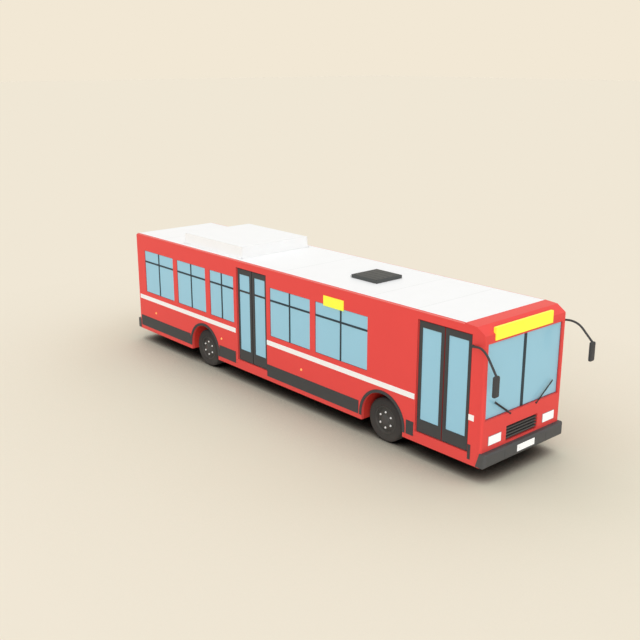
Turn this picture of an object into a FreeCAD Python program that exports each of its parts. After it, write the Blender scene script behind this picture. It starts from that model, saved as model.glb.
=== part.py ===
import FreeCAD, Part
import math
import os
import re
import Sketcher

# Single-deck two-axle city bus with two inward-opening double doors on its right side.
# Millimetres. +X is forward, +Y the bus's left, +Z up, and the origin lies on the ground
# under the middle of the whole vehicle, mirrors included.

document = FreeCAD.newDocument("CityBus")
sheet = document.addObject("Spreadsheet::Sheet", "Sizes")

SIZES = {
    # body shell
    "body_length": 12385, "body_width": 2500, "roof_height": 3106, "skirt_height": 340,
    "side_wall": 70, "end_wall": 80, "roof_thick": 50, "roof_bevel": 30,
    "floor_top": 565, "floor_thick": 60, "corner_round": 45,
    # heights measured down from the roof's top
    "crease_height": 161, "brow_height": 21, "rear_lean_height": 76, "window_head": 444,
    "window_bar_height": 751, "door_head": 191, "screen_high": 327, "rear_screen_high": 486,
    "side_sign_low": 476, "side_sign_high": 249, "front_sign_low": 285, "front_sign_high": 36,
    "mirror_low": 1121,
    "mirror_high": 716, "arm_foot_height": 401,
    # front profile, measured back from the front face
    "waist_height": 1270, "crease_back": 20, "brow_back": 230, "cap_back": 515,
    # rear profile
    "rear_lean_in": 125,
    # axles and wheels
    "rear_axle_pos": 3262, "wheelbase": 6504, "tyre_radius": 484, "tyre_width": 280,
    "tyre_inset": 100, "tyre_shoulder": 26, "rim_radius": 286, "rim_wall": 34, "disc_thick": 46,
    "disc_inset": 14, "twin_gap": 50, "seat_gap": 0.3, "hub_radius": 118, "spindle_radius": 40,
    "run_gap": 0.05, "kingpin_offset": 130, "kingpin_radius": 24, "knuckle_half": 62,
    "beam_height": 350, "beam_half": 60, "bellows_radius": 95, "bellows_pos": 430,
    # wheel arches
    "arch_radius": 600, "arch_height": 505, "arch_trim": 66, "arch_trim_proud": 14,
    "house_wall": 20, "house_inner": 490,
    # side windows, each given by where it starts behind or ahead of the rear face
    "window_sill": 1485, "bar_wide": 44,
    "pane_thick": 10, "pane_inset": 12,
    "window_a_pos": 431, "window_a_len": 1434, "window_b_pos": 2066, "window_b_len": 1309,
    "window_c_pos": 3582, "window_c_len": 1011, "window_d_pos": 6041, "window_d_len": 1430,
    "window_e_pos": 7654, "window_e_len": 1654, "window_mid_pos": 4793, "window_mid_len": 1047,
    "cab_window_len": 1150, "cab_window_back": 330,
    # doors
    "door_sill": 570, "front_door_back": 330, "front_door_len": 1338,
    "mid_door_pos": 4739, "mid_door_len": 1153, "leaf_thick": 34, "leaf_inset": 26,
    "leaf_gap": 15, "meeting_gap": 24, "front_stile": 78, "mid_stile": 62, "leaf_meeting": 84,
    "leaf_foot": 270, "leaf_top": 130, "hinge_inset": 24, "hinge_pin": 11, "hinge_socket": 28,
    # bands, stripes, markers and signs
    "band_low": 449, "band_high": 750, "band_proud": 8, "band_start": 85, "door_margin": 107,
    "band_after_door": 14, "band_gap": 32, "stripe_low": 1242, "stripe_high": 1361, "stripe_proud": 5,
    "stripe_before_door": 89, "tail_strip": 66,
    "nose_strip_len": 130, "marker_height": 942, "marker_radius": 24, "marker_proud": 10,
    "marker_a_pos": 883, "marker_b_pos": 4028, "marker_c_pos": 7169,
    "side_sign_pos": 7941, "side_sign_len": 640, "sign_thick": 16, "front_sign_right": 975,
    "front_sign_left": 805, "front_sign_board": 60,
    # windscreen, lamps, grille
    "screen_low": 1276, "screen_half": 1160, "screen_inset": 45,
    "screen_bar": 84, "lamp_inner": 670, "lamp_outer": 1045, "lamp_low": 758, "lamp_high": 936,
    "lamp_proud": 12, "grille_half": 500, "grille_low": 690, "grille_high": 1005,
    "grille_depth": 62, "grille_back": 12, "slat_thick": 26, "slat_pitch": 64,
    "rear_lamp_inner": 1010, "rear_lamp_outer": 1170, "rear_lamp_low": 760, "rear_lamp_unit": 150,
    "rear_lamp_step": 160, "plate_half": 275, "plate_low": 450, "plate_high": 585,
    "plate_thick": 6, "rear_screen_half": 900, "rear_screen_low": 1640,
    # bumpers
    "bumper_out": 120, "bumper_low": 355, "bumper_high": 645, "bumper_wrap": 112, "bumper_rake": 88,
    "bumper_side": 12, "bumper_round": 70, "bumper_bevel": 34, "rear_bumper_out": 130,
    "rear_bumper_high": 615,
    # roof
    "pod_pos": 2211, "pod_len": 2508, "pod_half": 1050, "pod_high": 277, "pod_slope": 10,
    "pod_side_slope": 10, "hatch_pos": 7902, "hatch_size": 790, "hatch_lap": 55, "hatch_thick": 75,
    "hatch_barrel": 22, "hatch_lug": 60, "hatch_pin": 11, "hatch_eye": 16,
    # mirrors
    "mirror_ahead": 500, "mirror_out": 1520, "mirror_thick": 60, "mirror_wide": 150,
    "arm_radius": 22, "arm_foot": 32, "arm_foot_back": 330, "arm_bend": 400, "arm_flange": 42,
    "arm_run": 400, "arm_rise": 90, "arm_draw_in": 82, "arm_grip": 20,
    # wipers
    "wiper_pivot_y": 416, "wiper_pivot_z": 1252, "wiper_reach_y": 506, "wiper_rise": 356,
    "wiper_spindle": 9, "wiper_off": 7, "wiper_blade": 42, "wiper_thick": 12, "wiper_boss": 20,
    # rear flap and engine
    "flap_half": 700, "flap_low": 650, "flap_high": 1155, "flap_thick": 26, "flap_lap": 40,
    "flap_barrel": 10, "flap_lug": 50, "flap_eye": 18, "flap_hang": 4, "flap_notch_gap": 6,
    "engine_pos": 420, "engine_len": 1450, "engine_half": 520, "engine_high": 1080, "podium_top": 1180, "podium_end": 2440,
    # chassis frame
    "rail_pos": 560, "rail_wide": 90, "rail_low": 400, "cross_wide": 90, "cross_pitch": 1150,
    "frame_clear": 705, "tow_plate": 26, "tow_hole": 21, "tow_drop": 150, "tow_back": 200,
    "tow_half": 70, "tow_edge": 45, "cross_sink": 20,
    "jack_size": 160, "jack_drop": 20,
    # cabin fittings
    "seat_pitch": 820, "seat_depth": 430, "seat_wide": 900, "seat_height": 430, "seat_pad": 70,
    "seat_back": 560, "seat_foot": 220, "seat_wall_gap": 12, "seat_first_gap": 180,
    "seat_high_start": 60, "driver_seat_side": 190, "driver_seat_wide": 522, "driver_seat_start": 90,
    "door_pole_gap": 120, "pole_radius": 17, "pole_pos": 560,
    "dash_depth": 420, "dash_height": 1225, "dash_side": 300, "knee_depth": 252, "knee_side": 120,
    "knee_drop": 170, "wheel_ring": 230, "wheel_tube": 16,
    "wheel_height": 1360, "wheel_back": 620, "cab_floor_top": 765, "cab_floor_len": 1360,
    "cab_floor_side": 240,
}

for row, (name, value) in enumerate(SIZES.items(), start=1):
    sheet.set(f"A{row}", name)
    sheet.set(f"B{row}", str(value))
    sheet.setAlias(f"B{row}", name)
document.recompute()

# Stations along the bus as expressions of the sizes above.
REAR = "((rear_bumper_out+plate_thick-mirror_ahead-body_length)/2)"
FRONT = f"({REAR}+body_length)"
REAR_AXLE = f"({REAR}+rear_axle_pos)"
FRONT_AXLE = f"({REAR_AXLE}+wheelbase)"
SIDE = "body_width/2"
INNER = "(body_width/2-side_wall)"
MID_DOOR = (f"{REAR}+mid_door_pos", f"{REAR}+mid_door_pos+mid_door_len")
FRONT_DOOR = (f"{FRONT}-front_door_back-front_door_len", f"{FRONT}-front_door_back")
CAB_WINDOW = (f"{FRONT}-cab_window_back-cab_window_len", f"{FRONT}-cab_window_back")
AXLE_HEIGHT = "tyre_radius"
FLOOR_UNDER = "(floor_top-floor_thick)"
ROOF_SEAT = "(roof_height-roof_thick)"

AXES = {"x": FreeCAD.Rotation(FreeCAD.Vector(0, 1, 0), 90),
        "y": FreeCAD.Rotation(FreeCAD.Vector(1, 0, 0), -90),
        "z": FreeCAD.Rotation()}


# Sizes given as a distance down from the roof's top.
DROPS = ("crease_height", "brow_height", "rear_lean_height", "window_head", "window_bar_height",
         "door_head", "screen_high", "rear_screen_high", "side_sign_low", "side_sign_high",
         "front_sign_low", "front_sign_high", "mirror_low", "mirror_high", "arm_foot_height")


def sized(text):
    """Point every size named in an expression at its cell, and turn drops into heights."""
    def cell(word):
        name = word.group(0)
        if name in DROPS:
            return f"(Sizes.roof_height-Sizes.{name})"
        return "Sizes." + name if name in SIZES else name
    return re.sub(r"[a-z][a-z_]+", cell, text)


def size(name):
    """A size's value, as a height where it is given down from the roof."""
    value = sheet.get(name)
    return sheet.get("roof_height") - value if name in DROPS else value


def bind(item, **properties):
    for name, text in properties.items():
        item.setExpression(name.replace("__", "."), sized(text))


def place(item, x, y, z):
    bind(item, Placement__Base__x=x, Placement__Base__y=y, Placement__Base__z=z)


def block(name, x, y, z):
    """A box between two planes on each axis."""
    item = document.addObject("Part::Box", name)
    bind(item, Length=f"({x[1]})-({x[0]})", Width=f"({y[1]})-({y[0]})", Height=f"({z[1]})-({z[0]})")
    place(item, x[0], y[0], z[0])
    return item


def rod(name, axis, start, radius, length):
    """A round bar that starts at a point and runs along one axis."""
    item = document.addObject("Part::Cylinder", name)
    item.Placement = FreeCAD.Placement(FreeCAD.Vector(), AXES[axis])
    bind(item, Radius=radius, Height=length)
    place(item, *start)
    return item


def cone(name, axis, start, radius_low, radius_high, length):
    item = document.addObject("Part::Cone", name)
    item.Placement = FreeCAD.Placement(FreeCAD.Vector(), AXES[axis])
    bind(item, Radius1=radius_low, Radius2=radius_high, Height=length)
    place(item, *start)
    return item


def prism(name, plane, points, start, length):
    """A PartDesign pad of a closed outline, from its plane's start station along + of that axis."""
    body = document.addObject("PartDesign::Body", name)
    origin_plane = [item for item in body.Origin.OriginFeatures if item.Role == plane][0]
    sketch = body.newObject("Sketcher::SketchObject", name + "_outline")
    sketch.AttachmentSupport = [(origin_plane, "")]
    sketch.MapMode = "FlatFace"
    count = len(points)
    corners = [FreeCAD.Vector(500 * math.cos(2 * math.pi * k / count),
                              500 * math.sin(2 * math.pi * k / count), 0) for k in range(count)]
    for k in range(count):
        sketch.addGeometry(Part.LineSegment(corners[k], corners[(k + 1) % count]), False)
    for k in range(count):
        sketch.addConstraint(Sketcher.Constraint("Coincident", k, 2, (k + 1) % count, 1))
    for k, (across, up) in enumerate(points):
        for kind, text in (("DistanceX", across), ("DistanceY", up)):
            index = sketch.addConstraint(Sketcher.Constraint(kind, -1, 1, k, 1, 10.0))
            sketch.setExpression(f"Constraints[{index}]", sized(text))
    pad = body.newObject("PartDesign::Pad", name + "_pad")
    pad.Profile = sketch
    pad.Reversed = plane == "XZ_Plane"
    pad.setExpression("Length", sized(length))
    station = {"XZ_Plane": "Placement__Base__y", "YZ_Plane": "Placement__Base__x",
               "XY_Plane": "Placement__Base__z"}[plane]
    bind(body, **{station: start})
    return body


def fuse(name, items):
    item = document.addObject("Part::MultiFuse", name)
    item.Shapes = items
    return item


def common(name, items):
    item = document.addObject("Part::MultiCommon", name)
    item.Shapes = items
    return item


def group(name, items):
    item = document.addObject("Part::Compound", name)
    item.Links = items
    return item


def cut(name, base, tools):
    item = document.addObject("Part::Cut", name)
    item.Base = base
    item.Tool = tools[0] if len(tools) == 1 else group(name + "_tools", tools)
    return item


NODES = []


def node(item, label):
    """Give a finished sub-part its own label, which names its file."""
    item.Label = label
    NODES.append(item)
    return item


# Outline of the whole shell as seen from the side, inset by the walls where asked.
def shell_outline(front_in, rear_in, top_in):
    return [
        (f"{REAR}+{rear_in}", "skirt_height"),
        (f"{FRONT}-{front_in}", "skirt_height"),
        (f"{FRONT}-{front_in}", "waist_height"),
        (f"{FRONT}-crease_back-{front_in}", f"crease_height-{top_in}/2"),
        (f"{FRONT}-brow_back-{top_in}/2", f"brow_height-{top_in}"),
        (f"{FRONT}-cap_back", f"roof_height-{top_in}"),
        (f"{REAR}+rear_lean_in", f"roof_height-{top_in}"),
        (f"{REAR}+{rear_in}", f"rear_lean_height-{top_in}/2"),
    ]


def rounded_plan(name, low, high):
    """The body's plan with round vertical corners, as one tall block."""
    parts = [block(name + "_long", (f"{REAR}", FRONT), (f"-({SIDE}-corner_round)", f"{SIDE}-corner_round"),
                   (low, high)),
             block(name + "_wide", (f"{REAR}+corner_round", f"{FRONT}-corner_round"),
                   (f"-{SIDE}", SIDE), (low, high))]
    for end, x in (("rear", f"{REAR}+corner_round"), ("front", f"{FRONT}-corner_round")):
        for side, sign in (("right", "-"), ("left", "")):
            parts.append(rod(f"{name}_{end}_{side}", "z", (x, f"{sign}({SIDE}-corner_round)", low),
                             "corner_round", f"({high})-({low})"))
    return fuse(name, parts)


def end_panel(name, keep, holes):
    """A front or rear panel: the shell's skin, its plan rounded, kept only at one end."""
    outer = prism(name + "_outer", "XZ_Plane", shell_outline("0", "0", "0"), f"-{SIDE}", "body_width")
    inner = prism(name + "_inner", "XZ_Plane", shell_outline("end_wall", "end_wall", "roof_thick"),
                  f"-{SIDE}-1", "body_width+2")
    under = block(name + "_under", (f"{REAR}+end_wall", f"{FRONT}-end_wall"),
                  (f"-{SIDE}-1", f"{SIDE}+1"), ("skirt_height-1", "floor_top"))
    skin = cut(name + "_skin", outer, [inner, under])
    end = block(name + "_end", keep, (f"-{SIDE}-1", f"{SIDE}+1"), ("0", "roof_height+10"))
    plan = rounded_plan(name + "_plan", "0", "roof_height+10")
    return cut(name, common(name + "_whole", [skin, end, plan]), holes)


# Front panel with its windscreen, grille and wiper spindle holes.
def wiper_hole(side, sign):
    return rod(f"wiper_hole_{side}", "x", (f"{FRONT}-end_wall-1", f"{sign}wiper_pivot_y", "wiper_pivot_z"),
               "wiper_spindle+run_gap", "end_wall+2")


screen_hole = block("screen_hole", (f"{FRONT}-end_wall-1", f"{FRONT}+1"),
                    ("-screen_half", "screen_half"), ("screen_low", "screen_high"))
grille_hole = block("grille_hole", (f"{FRONT}-end_wall-1", f"{FRONT}+1"),
                    ("-grille_half", "grille_half"), ("grille_low", "grille_high"))
node(end_panel("front_wall_solid", (f"{FRONT}-cap_back", f"{FRONT}+1"),
               [screen_hole, grille_hole, wiper_hole("right", "-"), wiper_hole("left", "")]),
     "front_wall")

# Rear panel with its window and the engine bay behind the flap.
rear_screen_hole = block("rear_screen_hole", (f"{REAR}-1", f"{REAR}+end_wall+1"),
                         ("-rear_screen_half", "rear_screen_half"), ("rear_screen_low", "rear_screen_high"))
engine_hole = block("engine_hole", (f"{REAR}-1", f"{REAR}+end_wall+1"),
                    ("-(flap_half-flap_lap)", "flap_half-flap_lap"),
                    ("flap_low+flap_lap", "flap_high-flap_lap"))
rear_wall_body = end_panel("rear_wall_solid", (f"{REAR}-1", f"{REAR}+rear_lean_in"),
                           [rear_screen_hole, engine_hole])
flap_axis_x = f"({REAR}-seat_gap-flap_thick/2)"
flap_axis_z = "(flap_high+flap_barrel+flap_hang)"
flap_lugs = []
for side, sign in (("right", "-"), ("left", "")):
    middle = f"{sign}(flap_half-flap_lug/2)"
    lug = fuse(f"flap_lug_{side}_solid", [
        rod(f"flap_lug_{side}_eye", "y", (flap_axis_x, f"{middle}-flap_lug/2", flap_axis_z),
            "flap_eye", "flap_lug"),
        block(f"flap_lug_{side}_foot", (flap_axis_x, REAR), (f"{middle}-flap_lug/2", f"{middle}+flap_lug/2"),
              (flap_axis_z, f"{flap_axis_z}+flap_eye"))])
    bore = rod(f"flap_lug_{side}_bore", "y", (flap_axis_x, f"{middle}-flap_lug/2-1", flap_axis_z),
               "flap_barrel+run_gap", "flap_lug+2")
    flap_lugs.append(cut(f"flap_lug_{side}", lug, [bore]))
node(fuse("rear_wall_whole", [rear_wall_body] + flap_lugs), "rear_wall")


# Side walls. The outline leaves room for the end panels; the top takes the roof in a rabbet.
RIGHT_WINDOWS = [(f"{REAR}+window_{key}_pos", f"{REAR}+window_{key}_pos+window_{key}_len")
                 for key in ("a", "b", "c", "d", "e")]
LEFT_WINDOWS = RIGHT_WINDOWS + [(f"{REAR}+window_mid_pos", f"{REAR}+window_mid_pos+window_mid_len"),
                                CAB_WINDOW]
DOORWAYS = {"mid": MID_DOOR, "front": FRONT_DOOR}


def leaf_axes(door):
    """Hinge line stations of a doorway's two leaves, rear leaf first."""
    low, high = DOORWAYS[door]
    return f"({low}+leaf_gap+hinge_inset)", f"({high}-leaf_gap-hinge_inset)"


LEAF_Y = "-(body_width/2-leaf_inset-leaf_thick/2)"


def side_wall_solid(name, sign, windows, doorways):
    near, far = (f"-{SIDE}", f"-{INNER}") if sign == "-" else (INNER, SIDE)
    plate = prism(name + "_plate", "XZ_Plane", shell_outline("end_wall", "end_wall", "roof_thick"),
                  near, "side_wall")
    rim = block(name + "_rim", (f"{REAR}+rear_lean_in", f"{FRONT}-cap_back"),
                (near, far), ("roof_height-roof_thick*2", "roof_height"))
    inner_side = (f"-({SIDE}-roof_bevel)", f"-{INNER}+1") if sign == "-" else (f"{INNER}-1", f"{SIDE}-roof_bevel")
    rabbet = block(name + "_rabbet", (f"{REAR}", FRONT), inner_side, (ROOF_SEAT, "roof_height+1"))
    edge = f"{sign}{SIDE}" if sign else SIDE
    bevel_points = [(edge, "roof_height-roof_bevel"), (f"{sign}({SIDE}-roof_bevel)", "roof_height"),
                    (f"{sign}({SIDE}+10)", "roof_height+roof_bevel"),
                    (f"{sign}({SIDE}+10)", "roof_height-roof_bevel")]
    bevel = prism(name + "_bevel", "YZ_Plane", bevel_points, REAR, "body_length")
    holes = [rabbet, bevel]
    for k, (low, high) in enumerate(windows):
        holes.append(block(f"{name}_window_{k}", (low, high), (f"{near}-1", f"{far}+1"),
                           ("window_sill", "window_head")))
    for door in doorways:
        low, high = DOORWAYS[door]
        holes.append(block(f"{name}_{door}_doorway", (low, high), (f"{near}-1", f"{far}+1"),
                           ("door_sill", "door_head")))
        for k, x in enumerate(leaf_axes(door)):
            holes.append(rod(f"{name}_{door}_socket_{k}", "z", (x, LEAF_Y, "door_sill-hinge_socket"),
                             "hinge_pin+run_gap", "door_head-door_sill+hinge_socket*2"))
    for end, x in (("rear", REAR_AXLE), ("front", FRONT_AXLE)):
        holes.append(rod(f"{name}_{end}_arch", "y", (x, f"{near}-1", "arch_height"), "arch_radius",
                         "side_wall+2"))
        holes.append(block(f"{name}_{end}_arch_foot", (f"{x}-arch_radius", f"{x}+arch_radius"),
                           (f"{near}-1", f"{far}+1"), ("0", "arch_height")))
    return cut(name, fuse(name + "_raw", [plate, rim]), holes)


node(side_wall_solid("right_wall_solid", "-", RIGHT_WINDOWS, ("mid", "front")), "right_wall")
node(side_wall_solid("left_wall_solid", "", LEFT_WINDOWS, ()), "left_wall")

# Roof panel, lying in the side walls' rabbets between the end caps, with the hatch opening.
HATCH = (f"{REAR}+hatch_pos", f"{REAR}+hatch_pos+hatch_size")
roof_plate = block("roof_plate", (f"{REAR}+rear_lean_in", f"{FRONT}-cap_back"),
                   (f"-({SIDE}-roof_bevel)", f"{SIDE}-roof_bevel"), (ROOF_SEAT, "roof_height"))
hatch_hole = block("hatch_hole", (f"{HATCH[0]}+hatch_lap", f"{HATCH[1]}-hatch_lap"),
                   ("-(hatch_size/2-hatch_lap)", "hatch_size/2-hatch_lap"),
                   (f"{ROOF_SEAT}-1", "roof_height+1"))
hatch_axis_x = f"({HATCH[0]}-hatch_barrel)"
hatch_axis_z = "(roof_height+seat_gap+hatch_barrel*1.3)"
hatch_lugs = []
for side, sign in (("right", "-"), ("left", "")):
    middle = f"{sign}(hatch_size/2-hatch_lug/2)"
    lug = fuse(f"hatch_lug_{side}_solid", [
        block(f"hatch_lug_{side}_foot", (f"{hatch_axis_x}-hatch_eye", f"{hatch_axis_x}+hatch_eye"),
              (f"{middle}-hatch_lug/2", f"{middle}+hatch_lug/2"), ("roof_height-1", hatch_axis_z)),
        rod(f"hatch_lug_{side}_eye", "y", (hatch_axis_x, f"{middle}-hatch_lug/2", hatch_axis_z),
            "hatch_eye", "hatch_lug")])
    bore = rod(f"hatch_lug_{side}_bore", "y", (hatch_axis_x, f"{middle}-hatch_lug/2-1", hatch_axis_z),
               "hatch_pin+run_gap", "hatch_lug+2")
    hatch_lugs.append(cut(f"hatch_lug_{side}", lug, [bore]))
node(fuse("roof_whole", [cut("roof_open", roof_plate, [hatch_hole])] + hatch_lugs), "roof_panel")

# Roof hatch lid, hinged on a barrel at its rear edge.
lid = block("hatch_lid", HATCH, ("-hatch_size/2", "hatch_size/2"),
            ("roof_height+seat_gap", "roof_height+seat_gap+hatch_thick"))
lid_rim = block("hatch_rim", (f"{HATCH[0]}+hatch_lap+15", f"{HATCH[1]}-hatch_lap-15"),
                ("-(hatch_size/2-hatch_lap-15)", "hatch_size/2-hatch_lap-15"),
                ("roof_height-10", "roof_height+seat_gap+5"))
lid_hollow = block("hatch_hollow", (f"{HATCH[0]}+hatch_lap+35", f"{HATCH[1]}-hatch_lap-35"),
                   ("-(hatch_size/2-hatch_lap-35)", "hatch_size/2-hatch_lap-35"),
                   ("roof_height-11", "roof_height+seat_gap+4"))
barrel = rod("hatch_barrel_pin", "y", (hatch_axis_x, "-hatch_size/2", hatch_axis_z), "hatch_pin", "hatch_size")
tongue = block("hatch_tongue", (hatch_axis_x, f"{HATCH[0]}+2"),
               ("-(hatch_size/2-hatch_lug-6)", "hatch_size/2-hatch_lug-6"),
               (f"{hatch_axis_z}-hatch_pin", f"{hatch_axis_z}+hatch_pin"))
node(fuse("hatch_whole", [cut("hatch_lid_open", fuse("hatch_lid_raw", [lid, lid_rim]), [lid_hollow]),
                          barrel, tongue]), "roof_hatch")

# Wheel houses: an arched shell over each wheel, closed towards the gangway.
wheel_houses = []
for end, x in (("rear", REAR_AXLE), ("front", FRONT_AXLE)):
    for side, sign in (("right", "-"), ("left", "")):
        name = f"house_{end}_{side}"
        depth = "(body_width/2-side_wall-house_inner)"
        start = f"-{INNER}" if sign == "-" else "house_inner"
        room = f"-{INNER}-1" if sign == "-" else "house_inner+house_wall"
        outer = fuse(name + "_outer", [
            rod(name + "_arch", "y", (x, start, "arch_height"), "arch_radius+house_wall", depth),
            block(name + "_box", (f"{x}-arch_radius-house_wall", f"{x}+arch_radius+house_wall"),
                  (start, f"{start}+{depth}"), ("skirt_height", "arch_height"))])
        hollow = fuse(name + "_hollow", [
            rod(name + "_room", "y", (x, room, "arch_height"), "arch_radius", f"{depth}-house_wall+1"),
            block(name + "_foot", (f"{x}-arch_radius", f"{x}+arch_radius"),
                  (room, f"{room}+{depth}-house_wall+1"), ("0", "arch_height"))])
        flat = block(name + "_flat", (f"{x}-arch_radius*2", f"{x}+arch_radius*2"),
                     (f"{start}-1", f"{start}+{depth}+1"), ("0-arch_radius", "skirt_height"))
        wall_side = "-house_inner-house_wall" if sign == "-" else "house_inner"
        axle_gap = block(name + "_axle_gap", (f"{x}-arch_radius", f"{x}+arch_radius"),
                         (f"{wall_side}-1", f"{wall_side}+house_wall+1"), ("0", FLOOR_UNDER))
        wheel_houses.append(cut(name, outer, [hollow, flat, axle_gap]))
node(group("wheel_boxes_all", wheel_houses), "wheel_boxes")

# Floor: low and flat, cut round the wheel houses, with a podium over the engine.
floor_low = block("floor_low", (f"{REAR}+podium_end", f"{FRONT}-end_wall"), (f"-{INNER}", INNER),
                  (FLOOR_UNDER, "floor_top"))
floor_riser = block("floor_riser", (f"{REAR}+podium_end-floor_thick", f"{REAR}+podium_end"),
                    (f"-{INNER}", INNER), (FLOOR_UNDER, "podium_top"))
floor_podium = block("floor_podium", (f"{REAR}+end_wall", f"{REAR}+podium_end"),
                     (f"-{INNER}", INNER), ("podium_top-floor_thick", "podium_top"))
floor_cuts = []
for end, x in (("rear", REAR_AXLE), ("front", FRONT_AXLE)):
    for side, sign in (("right", "-"), ("left", "")):
        near, far = (f"-{INNER}-1", "-house_inner") if sign == "-" else ("house_inner", f"{INNER}+1")
        floor_cuts.append(block(f"floor_cut_{end}_{side}",
                                (f"{x}-arch_radius-house_wall", f"{x}+arch_radius+house_wall"),
                                (near, far), ("0", "floor_top+1")))
cab_floor = block("cab_floor", (f"{FRONT}-end_wall-cab_floor_len", f"{FRONT}-end_wall"),
                  ("cab_floor_side", INNER), ("floor_top-1", "cab_floor_top"))
node(cut("floor_solid", fuse("floor_whole", [floor_low, floor_riser, floor_podium, cab_floor]),
         floor_cuts), "floor_panel")

# Chassis frame: ladders between the axles, with tow eyes and jack pads.
FRAME_SPANS = {"rear": (f"{REAR}+end_wall", f"{REAR_AXLE}-frame_clear"),
               "middle": (f"{REAR_AXLE}+frame_clear", f"{FRONT_AXLE}-frame_clear"),
               "front": (f"{FRONT_AXLE}+frame_clear", f"{FRONT}-end_wall")}
ladders = []
for span, (low, high) in FRAME_SPANS.items():
    pieces = []
    for side, sign in (("right", "-"), ("left", "")):
        middle = f"{sign}rail_pos"
        pieces.append(block(f"rail_{span}_{side}", (low, high),
                            (f"{middle}-rail_wide/2", f"{middle}+rail_wide/2"), ("rail_low", FLOOR_UNDER)))
    steps = 4 if span == "middle" else 2
    for k in range(steps + 1):
        at = f"{low}+(({high})-({low})-cross_wide)*{k}/{steps}"
        pieces.append(block(f"cross_{span}_{k}", (at, f"{at}+cross_wide"),
                            ("-rail_pos", "rail_pos"), ("rail_low+cross_sink", FLOOR_UNDER)))
    if span == "middle":
        for side, sign in (("right", "-"), ("left", "")):
            middle = f"{sign}rail_pos"
            for end, at in (("rear", low), ("front", f"{high}-jack_size")):
                pieces.append(block(f"jack_{end}_{side}", (at, f"{at}+jack_size"),
                                    (f"{middle}-jack_size/2", f"{middle}+jack_size/2"),
                                    ("rail_low-jack_drop", "rail_low+1")))
    if span != "middle":
        middle = "rail_pos"
        x = f"{FRONT}-tow_back" if span == "front" else f"{REAR}+tow_back"
        pieces.append(block(f"tow_{span}_plate", (f"{x}-tow_half", f"{x}+tow_half"),
                            (f"{middle}-tow_plate/2", f"{middle}+tow_plate/2"),
                            ("rail_low-tow_drop", "rail_low+1")))
        whole = fuse(f"ladder_{span}_whole", pieces)
        eye = rod(f"tow_{span}_eye", "y", (x, f"{middle}-tow_plate/2-1", "rail_low-tow_drop+tow_edge"),
                  "tow_hole", "tow_plate+2")
        ladders.append(cut(f"ladder_{span}", whole, [eye]))
    else:
        ladders.append(fuse(f"ladder_{span}", pieces))
node(group("chassis_all", ladders), "chassis_frame")

# Engine block, one plain mass over the rear rails.
node(block("engine_solid", (f"{REAR}+engine_pos", f"{REAR}+engine_pos+engine_len"),
           ("-engine_half", "engine_half"), (FLOOR_UNDER, "engine_high")), "engine_block")


# Window panes, with slim bars on their outer faces.
panes = []
bars = []


def side_window(name, sign, span):
    low, high = span
    face = f"{sign}({SIDE}-pane_inset)"
    back = f"{sign}({SIDE}-pane_inset-pane_thick)"
    front = f"{sign}({SIDE}-pane_inset/4)"
    glass_y = (face, back) if sign == "-" else (back, face)
    bar_y = (front, face) if sign == "-" else (face, front)
    panes.append(block(name + "_pane", span, glass_y, ("window_sill", "window_head")))
    middle = f"(({low})+({high}))/2"
    bars.append(fuse(name + "_bars", [
        block(name + "_post", (f"{middle}-bar_wide/2", f"{middle}+bar_wide/2"), bar_y,
              ("window_sill", "window_head")),
        block(name + "_rail", span, bar_y,
              ("window_bar_height-bar_wide/2", "window_bar_height+bar_wide/2"))]))


for k, span in enumerate(RIGHT_WINDOWS):
    side_window(f"right_window_{k}", "-", span)
for k, span in enumerate(LEFT_WINDOWS):
    side_window(f"left_window_{k}", "", span)
panes.append(block("rear_pane", (f"{REAR}+pane_inset", f"{REAR}+pane_inset+pane_thick"),
                   ("-rear_screen_half", "rear_screen_half"), ("rear_screen_low", "rear_screen_high")))
SCREEN_FACE = f"({FRONT}-crease_back-screen_inset+12)"
for side, span in (("right", ("-screen_half", "-screen_bar/2")), ("left", ("screen_bar/2", "screen_half"))):
    panes.append(block(f"screen_{side}", (f"{SCREEN_FACE}-pane_thick", SCREEN_FACE), span,
                       ("screen_low", "screen_high")))
bars.append(block("screen_post", (f"{SCREEN_FACE}-pane_thick*2", f"{SCREEN_FACE}+8"),
                  ("-screen_bar/2", "screen_bar/2"), ("screen_low", "screen_high")))
node(group("panes_all", panes), "window_panes")
node(group("bars_all", bars), "window_bars")


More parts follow.
